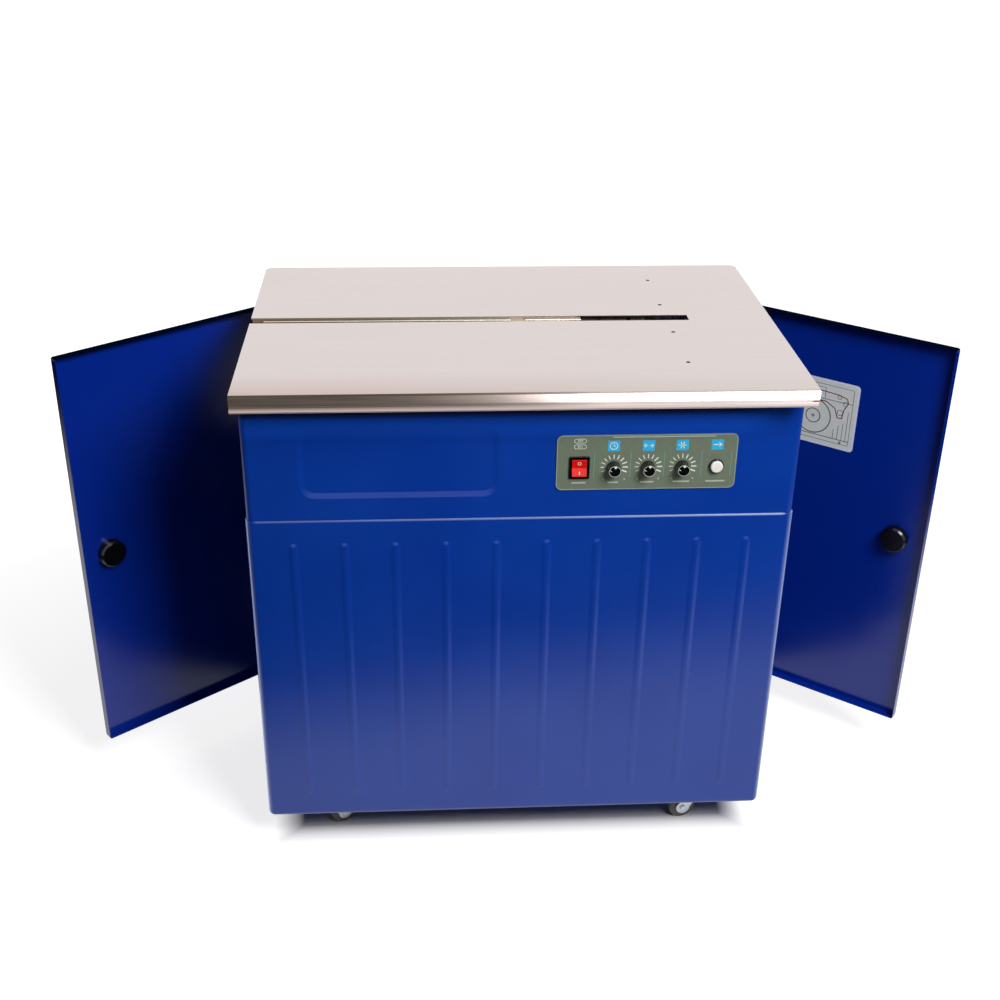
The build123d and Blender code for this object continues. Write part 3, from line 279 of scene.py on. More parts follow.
def evenFinish(name, tone, rough, marks, depth, edge, strength=0.5, **optics):
    # a surface of one kind all over: tone makes its colour, rough is its cloud size and roughness range,
    # and marks are the size, detail and stretch of its fine relief
    material, tree, place = startMaterial(name)
    rounded = addNode(tree, "ShaderNodeBevel", {"Radius": edge}, samples=4)
    size, detail, stretch = marks
    relief = grain(tree, place, size, detail, stretch)
    cloud, *roughness = rough
    surface = addNode(tree, "ShaderNodeBump", {
        "Height": relief, "Distance": depth, "Strength": strength, "Normal": rounded})
    shader = addNode(tree, "ShaderNodeBsdfPrincipled", {
        "Base Color": tone(tree, place, rounded, relief), "Normal": surface, **optics,
        "Roughness": addNode(tree, "ShaderNodeMapRange", (grain(tree, place, cloud, 3), *swing, *roughness))})
    addNode(tree, "ShaderNodeOutputMaterial", {"Surface": shader})
    return material


# clouds are this many grains wide
cloudGrains = {"metalShine": 6, "coatTone": 9, "coatShine": 5}
rubbing = {"size": 5 * mm, "swing": (0.4, 0.65), "share": (0.0, 0.7)}


def metalFinish(name, colour, otherColour, roughness, size, stretch=(1, 1, 1), depth=0.01 * mm, edge=0.4 * mm):
    # bare or plated metal whose shade and relief follow the same grain
    def tone(tree, place, rounded, relief):
        return coats(tree, colour, (zone(tree, (relief, *swing)), otherColour))
    cloud = size * cloudGrains["metalShine"]
    return evenFinish(name, tone, (cloud, *roughness), (size, 4, stretch), depth, edge, Metallic=1.0)


def coatFinish(name, colour, otherColour, roughness, size, depth, edge=0.5 * mm, ior=1.5, wornColour=None):
    # plastic, rubber, paint or ink: cloudy shades over a finer relief, and worn edges where a colour is given
    def tone(tree, place, rounded, relief):
        clouds = zone(tree, (grain(tree, place, size * cloudGrains["coatTone"], 4), *swing))
        shade = coats(tree, colour, (clouds, otherColour))
        if not wornColour:
            return shade
        patches = addNode(tree, "ShaderNodeMapRange", (
            grain(tree, place, rubbing["size"], 3), *rubbing["swing"], *rubbing["share"]))
        rubbed = addNode(tree, "ShaderNodeMath", (edgeMask(tree, rounded), patches), operation="MULTIPLY")
        return coats(tree, shade, (rubbed, wornColour))
    cloud = size * cloudGrains["coatShine"]
    return evenFinish(name, tone, (cloud, *roughness), (size, 3, (1, 1, 1)), depth, edge, IOR=ior)


channel = {"reach": (-360 * mm, 30 * mm), "curve": 2.0, "mark": 0.8 * mm, "markDraw": (60, 1, 1),
           "cloud": 25 * mm, "depth": 0.004 * mm, "strength": 0.4, "edge": 0.4 * mm}


def channelSteel(name, leftColour, rightColour, roughness):
    # strap channel in the table: steel polished by the strap, darker and browner towards its left end
    def tone(tree, place, rounded, relief):
        x = addNode(tree, "ShaderNodeSeparateXYZ", (place,)).outputs["X"]
        along = zone(tree, (x, *channel["reach"]))
        rightward = addNode(tree, "ShaderNodeMath", (along, channel["curve"]), operation="POWER")
        return coats(tree, leftColour, (rightward, rightColour))
    return evenFinish(name, tone, (channel["cloud"], *roughness), (channel["mark"], 3, channel["markDraw"]),
                      channel["depth"], channel["edge"], channel["strength"], Metallic=1.0)


finishes = {
    "blue_paint": powderCoat(),
    "stainless": brushedStainless(),
    # zinc plating on pressed steel: bright cool grey, softly mottled
    "zinc_steel": metalFinish("bright_zinc_plated_steel", "#C4C8CC", "#A9AFB6", (0.24, 0.4), 4 * mm),
    # milled and ground steel: mid grey with short tool lines
    "bright_steel": metalFinish("ground_machine_steel", "#B4B2AE", "#97948F", (0.22, 0.36), 1.2 * mm,
                                (1, 30, 1)),
    # injection moulded plastic polished in the tool: near black with sharp small highlights
    "black_plastic": coatFinish("gloss_black_moulded_abs", "#060607", "#0A0A0B", (0.14, 0.22), 1.2 * mm,
                                0.006 * mm, 0.4 * mm, 1.46),
    # tinted polycarbonate rocker: clear bright red with a wet shine
    "red_plastic": coatFinish("red_polycarbonate", "#E3190B", "#C40F06", (0.12, 0.2), 3 * mm, 0.004 * mm,
                              0.3 * mm, 1.58),
    # white moulded button: warm white, lightly handled
    "white_plastic": coatFinish("white_moulded_abs", "#EFEBE4", "#E2DED6", (0.25, 0.35), 1.5 * mm, 0.004 * mm,
                                0.4 * mm, 1.53),
    # printed film on a metal plate: satin olive grey with a fine grit that spreads the light
    "panel_film": coatFinish("satin_olive_grey_film", "#69745F", "#626D60", (0.38, 0.5), 0.5 * mm, 0.006 * mm,
                             0.5 * mm, 1.5, "#8FA6AE"),
    # sprayed machine enamel: mid grey, slightly pebbled
    "grey_enamel": coatFinish("grey_machine_enamel", "#6E7375", "#62676A", (0.32, 0.46), 1.8 * mm, 0.03 * mm),
    # painted sand casting: dull grey with the grit of the mould
    "cast_grey": coatFinish("painted_casting_grey", "#5B5E60", "#4D5052", (0.45, 0.62), 1.4 * mm, 0.09 * mm,
                            0.8 * mm),
    # ribbed drive belt: dull black that takes dust
    "belt_rubber": coatFinish("black_belt_rubber", "#161616", "#24231F", (0.6, 0.8), 1.5 * mm, 0.05 * mm),
    # thin black paint on sheet steel: soft gloss, rubbed to metal at the rims
    "reel_steel": coatFinish("black_paint_on_sheet", "#141416", "#1D1D1F", (0.3, 0.45), 1.6 * mm, 0.02 * mm,
                             0.5 * mm, 1.5, "#6B6B6B"),
    # cast nylon wheel: brown grey, dulled where it rolls
    "wheel_nylon": coatFinish("grey_cast_nylon", "#544D47", "#453F3B", (0.4, 0.6), 1.6 * mm, 0.03 * mm,
                              0.6 * mm, 1.53, "#7C756D"),
    # moulded roller sleeve: matt black rubber
    "roller_rubber": coatFinish("matt_roller_rubber", "#1B1B1C", "#242425", (0.55, 0.7), 1.0 * mm, 0.04 * mm),
}

# printing inks, and the painted edge highlight, lie flat on the film and the label, so they share its fine
# grit
inks = {
    "whiteInk": coatFinish("screen_ink_white", "#E9EDE2", "#DDE1D6", (0.35, 0.5), 0.5 * mm, 0.004 * mm),
    "edgeHighlightInk": coatFinish("painted_edge_highlight_pale", "#9DB3B5", "#92A8AC", (0.35, 0.5), 0.5 * mm, 0.004 * mm),
    "captionInk": coatFinish("screen_ink_soft_white", "#B4BBAE", "#A9B0A3", (0.35, 0.5), 0.5 * mm, 0.004 * mm),
    "blueInk": coatFinish("screen_ink_light_blue", "#2CAEDC", "#25A5D4", (0.35, 0.5), 0.5 * mm, 0.004 * mm),
    "tealInk": coatFinish("screen_ink_teal", "#6FA7A6", "#659E9E", (0.35, 0.5), 0.5 * mm, 0.004 * mm),
    "greyInk": coatFinish("label_ink_grey", "#4A5058", "#424850", (0.4, 0.55), 0.6 * mm, 0.004 * mm),
    "redInk": coatFinish("label_ink_red", "#7C1F30", "#6C1A2A", (0.4, 0.55), 0.6 * mm, 0.004 * mm),
    "rimInk": coatFinish("vinyl_label_lilac_rim", "#E6E9FB", "#DFE3F6", (0.3, 0.42), 0.9 * mm, 0.006 * mm),
    "labelFilm": coatFinish("vinyl_label_pale_grey", "#E2E5E4", "#DADEDE", (0.3, 0.42), 0.9 * mm, 0.006 * mm),
}

# the strap channel's pieces have finishes of their own
ownFinish = {
    "strap_chute": channelSteel("strap_polished_steel_floor", "#8A7660", "#DDD2C6", (0.1, 0.16)),
    "chute_walls": channelSteel("channel_wall_steel", "#8E816C", "#ADA79B", (0.5, 0.6)),
    "guide_strips": channelSteel("strap_polished_steel_strip", "#D8CBBC", "#FFF6EC", (0.22, 0.3)),
}
print("materials made:", len(bpy.data.materials))

slotOfNode = {row["node"]: row["material_slot"] for row in frame["record"]["subparts"]}
for name, node in frame["nodes"].items():
    finish = ownFinish.get(name, finishes[slotOfNode[name]])
    if not node.material_slots:
        node.data.materials.append(finish)
    for place in node.material_slots:
        place.material = finish


# mesh makers

def newPiece(name, mesh, material, body, smoothAngle=None):
    data = bpy.data.meshes.new(name)
    mesh.normal_update()
    mesh.to_mesh(data)
    mesh.free()
    piece = bpy.data.objects.new(name, data)
    scene.collection.objects.link(piece)
    data.materials.append(material)
    if smoothAngle:
        data.polygons.foreach_set("use_smooth", [True] * len(data.polygons))
        data.set_sharp_from_angle(angle=math.radians(smoothAngle))
    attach(piece, body)
    return piece


def circlePoints(x, y, radius, sides=32, start=0.0, turn=360.0):
    full = abs(turn) >= 360
    count = sides if full else sides + 1
    step = math.radians(turn) / sides
    return [(x + radius * math.cos(math.radians(start) + i * step),
             y + radius * math.sin(math.radians(start) + i * step)) for i in range(count)]


def roundedBox(x, y, width, height, radius, steps=6):
    points = []
    for cornerX, cornerY, start in ((1, 1, 0), (-1, 1, 90), (-1, -1, 180), (1, -1, 270)):
        midX = x + cornerX * (width / 2 - radius)
        midY = y + cornerY * (height / 2 - radius)
        points += circlePoints(midX, midY, radius, steps, start, 90)
    return points


def strokeShape(points, width, closed=False):
    points = [p for i, p in enumerate(points) if (i == 0 and not closed) or math.dist(p, points[i - 1]) > 1e-7]
    count = len(points)
    left, right = [], []
    for i, (x, y) in enumerate(points):
        before = points[i - 1] if (closed or i) else points[i]
        after = points[(i + 1) % count] if (closed or i < count - 1) else points[i]
        first = Vector((x - before[0], y - before[1]))
        second = Vector((after[0] - x, after[1] - y))
        first = first.normalized() if first.length else second.normalized()
        second = second.normalized() if second.length else first
        middle = (first + second).normalized()
        push = width / 2 / max(0.4, middle.dot(second))  # sharp corners are cut short
        left.append((x - middle.y * push, y + middle.x * push))
        right.append((x + middle.y * push, y - middle.x * push))
    return ("ring", left, right) if closed else ("shape", left + right[::-1], None)


def barShape(x, y, width, height):
    return ("shape", [(x - width / 2, y - height / 2), (x + width / 2, y - height / 2),
                      (x + width / 2, y + height / 2), (x - width / 2, y + height / 2)], None)


def letterShapes(text, x, y, height):
    curve = bpy.data.curves.new("letters", "FONT")
    curve.body = text
    curve.align_x = "CENTER"
    curve.align_y = "CENTER"
    curve.size = height * 1.35  # the font's size for capitals of this height
    curve.resolution_u = 4
    carrier = bpy.data.objects.new("letters", curve)
    mesh = bpy.data.meshes.new_from_object(carrier)
    shapes = [("faces", [(x + v.co.x, y + v.co.y) for v in mesh.vertices],
               [tuple(p.vertices) for p in mesh.polygons])]
    bpy.data.objects.remove(carrier)
    bpy.data.curves.remove(curve)
    return shapes


def printOn(name, shapes, surface, thickness, material, body):
    # surface is (origin, right, up); the print stands a hair above it
    origin, right, up = surface
    out = right.cross(up).normalized()
    mesh = bmesh.new()

    def corner(point, lift):
        return mesh.verts.new(origin + right * point[0] + up * point[1] + out * lift)

    for kind, first, second in shapes:
        if kind == "ring":
            rows = [[corner(p, lift) for p in loop] for loop in (first, second) for lift in (0, thickness)]
            count = len(first)
            for a, b in ((0, 1), (1, 3), (3, 2), (2, 0)):
                for i in range(count):
                    j = (i + 1) % count
                    mesh.faces.new((rows[a][i], rows[a][j], rows[b][j], rows[b][i]))
        elif kind == "shape":
            low = [corner(p, 0) for p in first]
            high = [corner(p, thickness) for p in first]
            mesh.faces.new(high)
            mesh.faces.new(low[::-1])
            for i in range(len(first)):
                j = (i + 1) % len(first)
                mesh.faces.new((low[i], low[j], high[j], high[i]))
        else:
            top = [corner(p, thickness) for p in first]
            made = [mesh.faces.new([top[i] for i in ring]) for ring in second]
            bmesh.ops.recalc_face_normals(mesh, faces=made)
            grown = bmesh.ops.extrude_face_region(mesh, geom=made)
            moved = [g for g in grown["geom"] if isinstance(g, bmesh.types.BMVert)]
            bmesh.ops.translate(mesh, verts=moved, vec=-out * thickness)
    bmesh.ops.recalc_face_normals(mesh, faces=mesh.faces)
    return newPiece(name, mesh, material, body)


def ringAt(mesh, place, radius, height, sides):
    return [mesh.verts.new(place @ Vector((x, y, height))) for x, y in circlePoints(0, 0, radius, sides)]


def turnedShape(mesh, profile, sides, place):
    # profile runs from the axis out and back to the axis: (radius, height)
    rings = [ringAt(mesh, place, radius, height, sides if radius else 1) for radius, height in profile]
    for low, high in zip(rings, rings[1:]):
        for i in range(sides):
            j = (i + 1) % sides
            if len(low) == 1:
                mesh.faces.new((low[0], high[i], high[j]))
            elif len(high) == 1:
                mesh.faces.new((low[i], low[j], high[0]))
            else:
                mesh.faces.new((low[i], low[j], high[j], high[i]))


def axisPlace(position, direction):
    turn = Vector(direction).to_track_quat("Z", "Y").to_matrix().to_4x4()
    return Matrix.Translation(Vector(position)) @ turn


def hexBolt(mesh, position, direction, radius):
    place = axisPlace(position, direction)
    washer = 0.25 * radius
    turnedShape(mesh, [(0, 0), (radius * 1.45, 0), (radius * 1.45, washer * 0.8), (radius * 1.35, washer),
                       (0, washer)], 24, place)
    turnedShape(mesh, [(0, washer), (radius, washer), (radius, radius * 0.95), (radius * 0.8, radius * 1.1),
                       (0, radius * 1.1)], 6, place)


def socketScrew(mesh, position, direction, radius):
    place = axisPlace(position, direction)
    turnedShape(mesh, [(0, 0), (radius, 0), (radius, radius * 0.85), (radius * 0.88, radius),
                       (radius * 0.56, radius)], 20, place)
    deep = radius * 0.45
    well = [(radius * 0.56, radius), (radius * 0.5, radius), (radius * 0.5, deep), (0, deep)]
    turnedShape(mesh, well, 20, place)


def panScrew(mesh, position, direction, radius):
    # a domed head with a cross recess cut by a plus-shaped well
    place = axisPlace(position, direction)
    height = radius * 0.62
    sides = 24
    rim = [(radius, 0), (radius, height * 0.35), (radius * 0.86, height * 0.78), (radius * 0.66, height)]
    base = mesh.verts.new(place @ Vector((0, 0, 0)))
    rings = [ringAt(mesh, place, rimRadius, rimHeight, sides) for rimRadius, rimHeight in rim]
    for i in range(sides):
        j = (i + 1) % sides
        mesh.faces.new((base, rings[0][j], rings[0][i]))
        for low, high in zip(rings, rings[1:]):
            mesh.faces.new((low[i], low[j], high[j], high[i]))
    arm, half = radius * 0.5, radius * 0.13
    plus = [(arm, -half), (arm, half), (half, half), (half, arm), (-half, arm), (-half, half),
            (-arm, half), (-arm, -half), (-half, -half), (-half, -arm), (half, -arm), (half, -half)]
    top = [mesh.verts.new(place @ Vector((x, y, height))) for x, y in plus]
    floor = [mesh.verts.new(place @ Vector((x * 0.8, y * 0.8, height * 0.35))) for x, y in plus]
    edges = []
    for loop in (rings[-1], top):
        for i in range(len(loop)):
            a, b = loop[i], loop[(i + 1) % len(loop)]
            edges.append(mesh.edges.get((a, b)) or mesh.edges.new((a, b)))
    bmesh.ops.triangle_fill(mesh, edges=edges, use_beauty=True)
    for i in range(len(plus)):
        j = (i + 1) % len(plus)
        mesh.faces.new((top[i], top[j], floor[j], floor[i]))
    mesh.faces.new(floor)


def fastenerPiece(name, maker, places, radius, slot, body):
    mesh = bmesh.new()
    for position, direction in places:
        maker(mesh, position, direction, radius)
    bmesh.ops.remove_doubles(mesh, verts=mesh.verts, dist=1e-7)
    bmesh.ops.recalc_face_normals(mesh, faces=mesh.faces)
    return newPiece(name, mesh, finishes[slot], body, smoothAngle=35)


# control plate printing

controls = {
    "switchX": 82 * mm, "spacing": 51 * mm, "height": 702 * mm, "ink": 0.06 * mm,
    "border": {"inset": 1.1 * mm, "corner": 8 * mm, "line": 0.8 * mm},
    "ovals": ((82.5 * mm, 745 * mm, "OFF"), (82.5 * mm, 735.7 * mm, "ON")), "ovalSize": (17.6 * mm, 6.4 * mm),
    "ovalCorner": 3.1 * mm, "ovalLine": 0.7 * mm, "ovalLetters": 3.6 * mm,
    "dials": 3, "ticks": 11, "tickStart": 202.5, "tickStep": 22.5, "tickInner": 13.6 * mm,
    "tickOuter": (19.4 * mm, 21.6 * mm), "tickWidth": (0.9 * mm, 2.0 * mm),
    "numbers": (("0", -15 * mm), ("10", 16.5 * mm)), "numberRise": 5 * mm, "numberSize": 2.6 * mm,
    "captionHeight": 677 * mm, "captionLine": 2.3 * mm,
    "captions": (21 * mm, 16 * mm, 20 * mm, 25 * mm, 29 * mm),
    "header": (206 * mm, 750.4 * mm, 152 * mm, 1.5 * mm),
    "dividers": (104 * mm, 158 * mm, 208 * mm, 263.5 * mm, 307.7 * mm), "dividerLine": 0.7 * mm,
    "dividerSpan": (685.5 * mm, 725.5 * mm),
    "icons": (132 * mm, 183.5 * mm, 233.5 * mm, 285.5 * mm), "iconHeight": 736.5 * mm,
    "iconSize": (18 * mm, 17 * mm), "iconCorner": 1.2 * mm,
}
plateLow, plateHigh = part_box("control_plate")
plateFace = (Vector((0, plateLow.y, 0)), Vector((1, 0, 0)), Vector((0, 0, 1)))


def plateInk(name, shapes, ink):
    return printOn(name, shapes, plateFace, controls["ink"], inks[ink], "cabinet")


# painted highlight: a pale line just inside the plate's edge stands for the light on the plate's sheet edge
border = controls["border"]
borderBox = roundedBox((plateLow.x + plateHigh.x) / 2, (plateLow.z + plateHigh.z) / 2,
                       plateHigh.x - plateLow.x - 2 * border["inset"],
                       plateHigh.z - plateLow.z - 2 * border["inset"], border["corner"])
plateInk("plate_edge_highlight_line", [strokeShape(borderBox, border["line"], True)], "edgeHighlightInk")

ovalLines, switchWords = [], []
for ovalX, ovalZ, word in controls["ovals"]:
    oval = roundedBox(ovalX, ovalZ, *controls["ovalSize"], controls["ovalCorner"])
    ovalLines.append(strokeShape(oval, controls["ovalLine"], True))
    switchWords += letterShapes(word, ovalX, ovalZ, controls["ovalLetters"])
plateInk("switch_ovals", ovalLines, "whiteInk")
plateInk("switch_on_off", switchWords, "whiteInk")


def between(sizes, share):
    return sizes[0] + share * (sizes[1] - sizes[0])


# ticks grow longer and wider from the first to the last
ticks, dialNumbers = [], []
for dial in range(controls["dials"]):
    dialX = controls["switchX"] + controls["spacing"] * (dial + 1)
    for i in range(controls["ticks"]):
        share = i / (controls["ticks"] - 1)
        angle = math.radians(controls["tickStart"] - controls["tickStep"] * i)
        ends = [(dialX + r * math.cos(angle), controls["height"] + r * math.sin(angle))
                for r in (controls["tickInner"], between(controls["tickOuter"], share))]
        ticks.append(strokeShape(ends, between(controls["tickWidth"], share)))
    for number, beside in controls["numbers"]:
        dialNumbers += letterShapes(number, dialX + beside, controls["captionHeight"] + controls["numberRise"],
                                    controls["numberSize"])
plateInk("dial_ticks", ticks, "whiteInk")
plateInk("dial_numbers", dialNumbers, "whiteInk")

rules = [barShape(controls["switchX"] + controls["spacing"] * i, controls["captionHeight"], length,
                  controls["captionLine"])
         for i, length in enumerate(controls["captions"])]
rules.append(barShape(*controls["header"]))
plateInk("plate_rules", rules, "captionInk")
dividerLow, dividerHigh = controls["dividerSpan"]
dividers = [barShape(x, (dividerLow + dividerHigh) / 2, controls["dividerLine"], dividerHigh - dividerLow)
            for x in controls["dividers"]]
plateInk("plate_dividers", dividers, "tealInk")

# generic pictograms, drawn in mm round each square's middle: (points, line width, closed)
clock = [(circlePoints(0, 0, 5.6, 24), 1.1, True), ([(0, 3.9), (0, 0), (3, -1.6)], 1.0, False)]
pull = []
for side in (-1, 1):
    pull.append(([(side * 1.2, 0), (side * 6.6, 0)], 1.2, False))
    pull.append(([(side * 4.2, 3), (side * 7, 0), (side * 4.2, -3)], 1.1, False))
star = []
for turn in (0, 60, 120):
    tip = (6 * math.cos(math.radians(turn)), 6 * math.sin(math.radians(turn)))
    star.append(([(-tip[0], -tip[1]), tip], 1.2, False))
arrow = [([(-6.4, 0), (5, 0)], 1.3, False), ([(2.2, 3.4), (6, 0), (2.2, -3.4)], 1.2, False)]
iconSquares, iconMarks = [], []
for iconX, strokes in zip(controls["icons"], (clock, pull, star, arrow)):
    iconZ = controls["iconHeight"]
    square = roundedBox(iconX, iconZ, *controls["iconSize"], controls["iconCorner"], 3)
    iconSquares.append(("shape", square, None))
    for points, width, closed in strokes:
        placed = [(iconX + x * mm, iconZ + z * mm) for x, z in points]
        iconMarks.append(strokeShape(placed, width * mm, closed))
plateInk("icon_squares", iconSquares, "blueInk")
iconFace = (plateFace[0] + Vector((0, -controls["ink"], 0)), plateFace[1], plateFace[2])
printOn("icon_pointer_and_highlights", iconMarks, iconFace, controls["ink"], inks["whiteInk"], "cabinet")

# painted highlights, a pale ring and a white flare, with a white pointer line on each knob face
knobPointerAndHighlights = {"ring": 8.5 * mm, "ringWidth": 0.5 * mm, "lift": 0.02 * mm, "ink": 0.05 * mm,
             "flareHighlight": ((-1.6, 7.6), (0.3, 4.4), (3.4, 6.6), (1.0, 8.7)),
             "pointer": ((-8.0, 2.6), (-4.4, 0.2)), "pointerWidth": 0.9 * mm}
for name in ("timer_knob", "tension_knob", "cooling_knob"):
    low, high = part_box(name)
    middle = Vector(((low.x + high.x) / 2, low.y - knobPointerAndHighlights["lift"], (low.z + high.z) / 2))
    face = (middle, Vector((1, 0, 0)), Vector((0, 0, 1)))
    marks = [strokeShape(circlePoints(0, 0, knobPointerAndHighlights["ring"], 40), knobPointerAndHighlights["ringWidth"], True),
             ("shape", [(x * mm, y * mm) for x, y in knobPointerAndHighlights["flareHighlight"]], None),
             strokeShape([(x * mm, y * mm) for x, y in knobPointerAndHighlights["pointer"]], knobPointerAndHighlights["pointerWidth"])]
    printOn(name + "_pointer_and_highlights", marks, face, knobPointerAndHighlights["ink"], inks["whiteInk"], name + "_body")

# ring mark on the upper half of the rocker and a bar on the lower half
rocker = {"tilt": 7.0, "valley": 3.42 * mm, "slope": 8.49, "ringAlong": 7.6 * mm, "ring": 2.3 * mm,
          "barAlong": 7.4 * mm, "bar": (1.1 * mm, 4.8 * mm), "stroke": 0.75 * mm, "ink": 0.06 * mm}
for side, name in ((1, "rocker_ring_mark"), (-1, "rocker_bar_mark")):
    lean = math.radians(rocker["tilt"] - side * rocker["slope"])
    tilt = math.radians(rocker["tilt"])
    upward = Vector((0, math.sin(lean), math.cos(lean)))
    pivot = Vector((controls["switchX"], plateLow.y, controls["height"]))
    face = (pivot + Vector((0, -math.cos(tilt), math.sin(tilt))) * rocker["valley"], Vector((1, 0, 0)), upward)
    if side > 0:
        mark = strokeShape(circlePoints(0, rocker["ringAlong"], rocker["ring"], 24), rocker["stroke"], True)
    else:
        mark = barShape(0, -rocker["barAlong"], *rocker["bar"])
    printOn(name, [mark], face, rocker["ink"], inks["whiteInk"], "switch_rocker_body")
print("control plate printed")


# drawing label inside the right door

door = {"angle": 51.7, "hingeX": 416.5 * mm, "hingeY": 222 * mm, "innerFace": 7.0 * mm, "outerFace": 5.5 * mm}


def doorSurface(side, depth):
    # along runs from the pin to the free edge, and inner is the way that the door's inner face looks
    swing = math.radians(door["angle"])
    along = Vector((side * math.sin(swing), -math.cos(swing), 0))
    inner = Vector((-side * math.cos(swing), -math.sin(swing), 0))
    origin = Vector((side * door["hingeX"], door["hingeY"], 0)) + inner * depth
    return origin, along, inner


# a generic threading drawing in mm from the label's middle: rings are (x, y, radius, line, sides), posts are
# (x, low, high) and beams are (left, right, height, line)
label = {"alongMiddle": 175 * mm, "middleZ": 632 * mm, "width": 130 * mm, "height": 124 * mm, "corner": 7 * mm,
         "film": 0.12 * mm, "ink": 0.05 * mm, "rimBox": (126 * mm, 120 * mm, 5.5 * mm), "rimLine": 3.4 * mm,
         "frameBox": (110 * mm, 104 * mm, 2 * mm), "frameLine": 0.8 * mm,
         "rings": ((-14, -10, 32, 1.9, 44), (-14, -10, 13, 1.7, 44), (-14, -10, 2, 1.6, 44),
                   (34, 6, 5, 1.0, 20), (42, 24, 4, 1.0, 20), (30, 34, 3.4, 1.0, 20), (-44, 34, 5, 1.0, 20),
                   (-40, -49, 1.6, 1.6, 14), (40, -49, 1.6, 1.6, 14)),
         "posts": ((26, -44, -26), (34, -44, -18), (42, -44, -12), (49, -44, 10), (-22, 27, 46), (4, 27, 46)),
         "postLine": 0.9 * mm, "beams": ((-55, 55, 25.5, 1.1), (-55, 55, -44.5, 1.3), (-22, 4, 46, 0.8)),
         "path": ((-14, 22), (8, 21), (24, 12), (30, -4), (38, -4), (40, 12), (47, 26), (44, 34), (30, 38),
                  (-10, 40)), "pathLine": 1.7 * mm}
labelOrigin, alongDoor, doorInward = doorSurface(1, door["innerFace"])
labelRight = alongDoor if alongDoor.cross(Vector((0, 0, 1))).dot(doorInward) > 0 else -alongDoor
labelCentre = labelOrigin + alongDoor * label["alongMiddle"] + Vector((0, 0, label["middleZ"]))


def labelLayer(name, shapes, level, thickness, ink):
    face = (labelCentre + doorInward * level, labelRight, Vector((0, 0, 1)))
    return printOn(name, shapes, face, thickness, inks[ink], "right_door_leaf")


film, ink = label["film"], label["ink"]
filmShape = roundedBox(0, 0, label["width"], label["height"], label["corner"])
labelLayer("door_label_film", [("shape", filmShape, None)], 0, film, "labelFilm")
rimShape = roundedBox(0, 0, *label["rimBox"])
labelLayer("door_label_rim", [strokeShape(rimShape, label["rimLine"], True)], film, ink, "rimInk")
drawing = [strokeShape(roundedBox(0, 0, *label["frameBox"]), label["frameLine"], True)]
for x, y, radius, width, sides in label["rings"]:
    drawing.append(strokeShape(circlePoints(x * mm, y * mm, radius * mm, sides), width * mm, True))
for x, low, high in label["posts"]:
    drawing.append(strokeShape([(x * mm, low * mm), (x * mm, high * mm)], label["postLine"]))
for low, high, level, width in label["beams"]:
    drawing.append(strokeShape([(low * mm, level * mm), (high * mm, level * mm)], width * mm))
labelLayer("door_label_drawing", drawing, film, ink, "greyInk")
strapPath = [(x * mm, y * mm) for x, y in label["path"]]
labelLayer("door_label_path", [strokeShape(strapPath, label["pathLine"])], film + ink, ink, "redInk")
print("door label printed")


# fasteners

fasteners = {"hingeZ": (190 * mm, 690 * mm), "hingeStep": 20 * mm, "hingeInset": 13.5 * mm,
             "hingeHead": 2.9 * mm, "leaf": 1.5 * mm, "cabinetSide": 411 * mm, "casterX": 312 * mm,
             "casterY": 190 * mm, "casterHole": (22 * mm, 17 * mm), "casterUnder": 61 * mm,
             "casterHead": 3.6 * mm}
fixedPlaces = []
for side, sideName in ((-1, "left"), (1, "right")):
    leafPlaces = []
    origin, along, inner = doorSurface(side, door["outerFace"] - fasteners["leaf"])
    fixedFace = Vector((side * (fasteners["cabinetSide"] + fasteners["leaf"]),
                        door["hingeY"] + fasteners["hingeInset"], 0))
    for hingeZ in fasteners["hingeZ"]:
        for step in (-1, 1):
            up = Vector((0, 0, hingeZ + step * fasteners["hingeStep"]))
            leafPlaces.append((origin + along * fasteners["hingeInset"] + up, -inner))
            fixedPlaces.append((fixedFace + up, Vector((side, 0, 0))))
    fastenerPiece(sideName + "_door_hinge_screws", panScrew, leafPlaces, fasteners["hingeHead"], "zinc_steel",
                  sideName + "_door_leaf")
fastenerPiece("fixed_hinge_screws", panScrew, fixedPlaces, fasteners["hingeHead"], "zinc_steel", "cabinet")

boltX, boltY = fasteners["casterHole"]
casterBolts = [(Vector((cx * fasteners["casterX"] + dx * boltX, cy * fasteners["casterY"] + dy * boltY,
                        fasteners["casterUnder"])), Vector((0, 0, -1)))
               for cx in (-1, 1) for cy in (-1, 1) for dx in (-1, 1) for dy in (-1, 1)]
fastenerPiece("caster_bolts", hexBolt, casterBolts, fasteners["casterHead"], "zinc_steel", "cabinet")

machine = {"camX": 190 * mm, "bracketX": 64 * mm, "bracketZ": (524 * mm, 760 * mm), "bracketHead": 3.6 * mm,
           "headPlaces": ((110 * mm, 664 * mm), (274 * mm, 664 * mm), (274 * mm, 822 * mm),
                          (112 * mm, 742 * mm)),
           "headHead": 4.5 * mm, "motorZ": 585 * mm, "tieCircle": 42 * mm, "tieHead": 4 * mm,
           "reelX": -130 * mm, "reelZ": 330 * mm, "reelCircle": 86 * mm, "reelHead": 3.6 * mm}
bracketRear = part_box("motor_bracket")[1].y
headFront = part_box("head_plates")[0].y
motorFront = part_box("motor")[0].y
reelFront, reelRear = (c.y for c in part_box("reel_flanges"))


def boltCircle(x, y, z, radius, angles, facing):
    return [(Vector((x + radius * math.cos(math.radians(a)), y, z + radius * math.sin(math.radians(a)))),
             Vector((0, facing, 0))) for a in angles]


